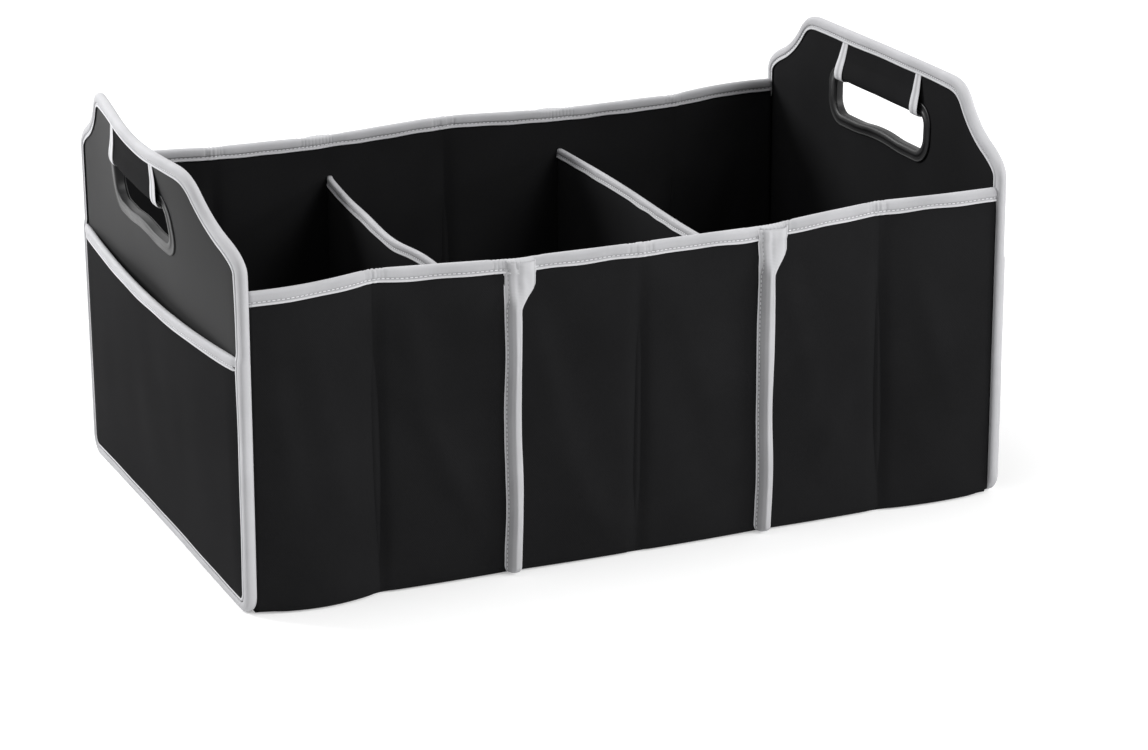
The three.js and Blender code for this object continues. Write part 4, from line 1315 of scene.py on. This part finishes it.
@named_material("stage_white")
def stage_white(tree, body):
    """Matt white that glows a little for what the camera sees, so that the floor is as white as the backdrop."""
    body.inputs["Base Color"].default_value = (0.82, 0.82, 0.82, 1)
    body.inputs["Roughness"].default_value = 0.9
    glow = tree.nodes.new("ShaderNodeEmission")
    glow.inputs["Strength"].default_value = FLOOR_GLOW
    brighter = tree.nodes.new("ShaderNodeAddShader")
    gate = tree.nodes.new("ShaderNodeMixShader")
    tree.links.new(body.outputs[0], brighter.inputs[0])
    tree.links.new(glow.outputs[0], brighter.inputs[1])
    tree.links.new(seen_rays(tree), gate.inputs["Fac"])
    tree.links.new(body.outputs[0], gate.inputs[1])
    tree.links.new(brighter.outputs[0], gate.inputs[2])
    tree.links.new(gate.outputs[0], tree.nodes["Material Output"].inputs["Surface"])


def stage_floor():
    """A pale floor that keeps the object's shadow."""
    side = np.array([-FLOOR_HALF, FLOOR_HALF])
    corners = np.stack(np.broadcast_arrays(side[None, :], side[:, None], FLOOR_LEVEL), axis=-1)
    floor = surface("stage_floor", corners)
    floor.data.materials.append(stage_white())


def stage_world():
    """White all round for what the camera sees and for gloss, and a dim even light for the rest."""
    world = bpy.data.worlds.new("studio")
    bpy.context.scene.world = world
    world.use_nodes = True
    tree = world.node_tree
    back = tree.nodes["Background"]
    back.inputs["Color"].default_value = (1, 1, 1, 1)
    tree.links.new(between(tree, seen_rays(tree), 0.0, 1.0, WORLD_LIGHT, 1.0), back.inputs["Strength"])


def area_light(name, place, target, size, power):
    """A rectangular light that faces a point."""
    data = bpy.data.lights.new(name, "AREA")
    data.shape = "RECTANGLE"
    data.size, data.size_y = size
    data.energy = power
    light = bpy.data.objects.new(name, data)
    bpy.context.scene.collection.objects.link(light)
    light.location = place
    way = np.array(target) - np.array(place)
    light.rotation_euler = (
        math.acos(-way[2] / np.linalg.norm(way)), 0, math.atan2(way[1], way[0]) - math.pi / 2)


def camera():
    """The camera, turned by the fitted azimuth, elevation and roll."""
    data = bpy.data.cameras.new("camera")
    data.sensor_width = SENSOR
    data.lens = FOCAL_PIXELS / PICTURE_WIDTH * SENSOR
    data.shift_x = CENTRE_OFF[0] / PICTURE_WIDTH
    data.shift_y = CENTRE_OFF[1] / PICTURE_WIDTH
    data.clip_start, data.clip_end = 0.05, 30
    eye = bpy.data.objects.new("camera", data)
    bpy.context.scene.collection.objects.link(eye)
    eye.rotation_mode = "XYZ"
    eye.location = CAMERA_PLACE
    eye.rotation_euler = (math.pi / 2 - CAMERA_ELEVATION, 0, CAMERA_AZIMUTH)
    eye.rotation_euler.rotate_axis("Z", CAMERA_ROLL)
    bpy.context.scene.camera = eye


# Operators

class ORGANIZER_OT_stage(bpy.types.Operator):
    """Build the camera, the lights, the backdrop and the floor"""

    bl_idname = "organizer.stage"
    bl_label = "Stage"

    def execute(self, context):
        camera()
        stage_world()
        stage_floor()
        for light in LIGHTS:
            area_light(*light)
        context.scene.view_settings.view_transform = "Standard"
        return {"FINISHED"}


class ORGANIZER_OT_long_walls(bpy.types.Operator):
    """Build the front and back walls with their boards and tapes"""

    bl_idname = "organizer.long_walls"
    bl_label = "Long walls"

    def execute(self, context):
        for side in WALLS:
            sleeve = seat(wall_cover(side), black_cloth(), "black_cloth", "root", f"{side}_wall_cover")
            for i in range(len(CREASES) - 1):
                seat(wall_card(side, i), plain_card(), "card", "root", f"{side}_wall_board_{i + 1}")
            seat(top_tape(side), grey_tape(), "grey_tape", "root", f"{side}_top_binding")
            for i in range(2):
                seat(seam_tape(side, i), grey_tape(), "grey_tape", "root", f"{side}_ridge_binding_{i + 1}")
        return {"FINISHED"}


class ORGANIZER_OT_end_panels(bpy.types.Operator):
    """Build the layers and edge tapes of the two end panels"""

    bl_idname = "organizer.end_panels"
    bl_label = "End panels"

    def execute(self, context):
        half, card_half = PANEL_HALF_THICK, PANEL_CARD_HALF
        for seed, side in enumerate(SIDES):
            skin = panel_layer(f"{side}_outer_skin", side, SKIN_INSET, half - SKIN, half, PANEL_WAVES, 101 + seed)
            card = panel_layer(f"{side}_panel_card", side, PANEL_CARD_INSET, -card_half, card_half, 0.0, 0)
            lining = panel_layer(f"{side}_lining", side, SKIN_INSET, -half + SKIN, -half, PANEL_WAVES, 111 + seed)
            seat(skin, grey_vinyl(), "grey_vinyl", "root", f"{side}_end_outer_skin")
            seat(card, plain_card(), "card", "root", f"{side}_end_board")
            seat(lining, black_cloth(), "black_cloth", "root", f"{side}_end_lining")
            seat(edge_tape(side), grey_tape(), "grey_tape", "root", f"{side}_edge_binding")
            edge = panel_loop()
            edge = edge + left_normals(edge) * SKIN_INSET
        return {"FINISHED"}


class ORGANIZER_OT_pockets(bpy.types.Operator):
    """Build the pockets on the end panels and the tapes on their mouths"""

    bl_idname = "organizer.pockets"
    bl_label = "Pockets"

    def execute(self, context):
        for side in SIDES:
            cloth = seat(pocket_sheet(side), black_cloth(), "black_cloth", "root", f"{side}_pocket")
            tape = seat(pocket_tape(side), grey_tape(), "grey_tape", "root", f"{side}_pocket_binding")
        return {"FINISHED"}


class ORGANIZER_OT_hand_holes(bpy.types.Operator):
    """Build the moulded frames, cloth grips and grip tapes of the hand holes"""

    bl_idname = "organizer.hand_holes"
    bl_label = "Hand holes"

    def execute(self, context):
        for side in SIDES:
            seat(hole_frame(side, True), black_moulding(), "black_plastic", "root", f"{side}_handle_frame_outer")
            seat(hole_frame(side, False), black_moulding(), "black_plastic", "root", f"{side}_handle_frame_inner")
            grip = seat(grip_cloth(side), black_cloth(), "black_cloth", "root", f"{side}_grip_wrap")
            tapes = [seat(grip_tape(side, i), grey_tape(), "grey_tape", "root", f"{side}_grip_tape_{i + 1}")
                     for i in range(2)]
        return {"FINISHED"}


class ORGANIZER_OT_dividers(bpy.types.Operator):
    """Build the two dividers"""

    bl_idname = "organizer.dividers"
    bl_label = "Dividers"

    def execute(self, context):
        for i in range(2):
            sleeve = seat(divider_cover(i), black_cloth(), "black_cloth", "root", f"divider_{i + 1}_cover")
            seat(divider_card(i), plain_card(), "card", "root", f"divider_{i + 1}_board")
            seat(divider_tape(i), grey_tape(), "grey_tape", "root", f"divider_{i + 1}_binding")
        return {"FINISHED"}


class ORGANIZER_OT_floor(bpy.types.Operator):
    """Build the base cloth, the floor boards and their hinges"""

    bl_idname = "organizer.floor"
    bl_label = "Floor"

    def execute(self, context):
        base = seat(base_sheet(), black_cloth(), "black_cloth", "root", "base_cloth")
        for i in range(3):
            board = f"floor_board_{i + 1}"
            seat(floor_board(i), black_cloth(), "floor_cloth", board, board)
            hinge = seat(hinge_cloth(i), black_cloth(), "floor_cloth", None, f"floor_hinge_tape_{i + 1}")
            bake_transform(hinge)
        return {"FINISHED"}


class ORGANIZER_PT_panel(bpy.types.Panel):
    """Lists the organizer's operators and sizes"""

    bl_idname = "ORGANIZER_PT_panel"
    bl_label = "Trunk organizer"
    bl_space_type = "VIEW_3D"
    bl_region_type = "UI"
    bl_category = "Organizer"

    def draw(self, context):
        for operator in OPERATORS:
            self.layout.operator(operator.bl_idname)
        for group in (context.scene.organizer_sizes, context.scene.organizer_colours):
            for name in group.__annotations__:
                self.layout.prop(group, name)


OPERATORS = (
    ORGANIZER_OT_stage,
    ORGANIZER_OT_long_walls,
    ORGANIZER_OT_end_panels,
    ORGANIZER_OT_pockets,
    ORGANIZER_OT_hand_holes,
    ORGANIZER_OT_dividers,
    ORGANIZER_OT_floor,
)
CLASSES = (OrganizerSizes, OrganizerColours, *OPERATORS, ORGANIZER_PT_panel)


def register():
    """Registers the add-on's classes and its two groups of properties."""
    for item in CLASSES:
        bpy.utils.register_class(item)
    bpy.types.Scene.organizer_sizes = bpy.props.PointerProperty(type=OrganizerSizes)
    bpy.types.Scene.organizer_colours = bpy.props.PointerProperty(type=OrganizerColours)


def unregister():
    """Takes back what register did."""
    del bpy.types.Scene.organizer_colours
    del bpy.types.Scene.organizer_sizes
    for item in reversed(CLASSES):
        bpy.utils.unregister_class(item)


def main():
    """Builds everything through the operators."""
    register()
    bpy.ops.organizer.stage()
    bpy.ops.organizer.long_walls()
    bpy.ops.organizer.end_panels()
    bpy.ops.organizer.pockets()
    bpy.ops.organizer.hand_holes()
    bpy.ops.organizer.dividers()
    bpy.ops.organizer.floor()


if __name__ == "__main__":
    main()
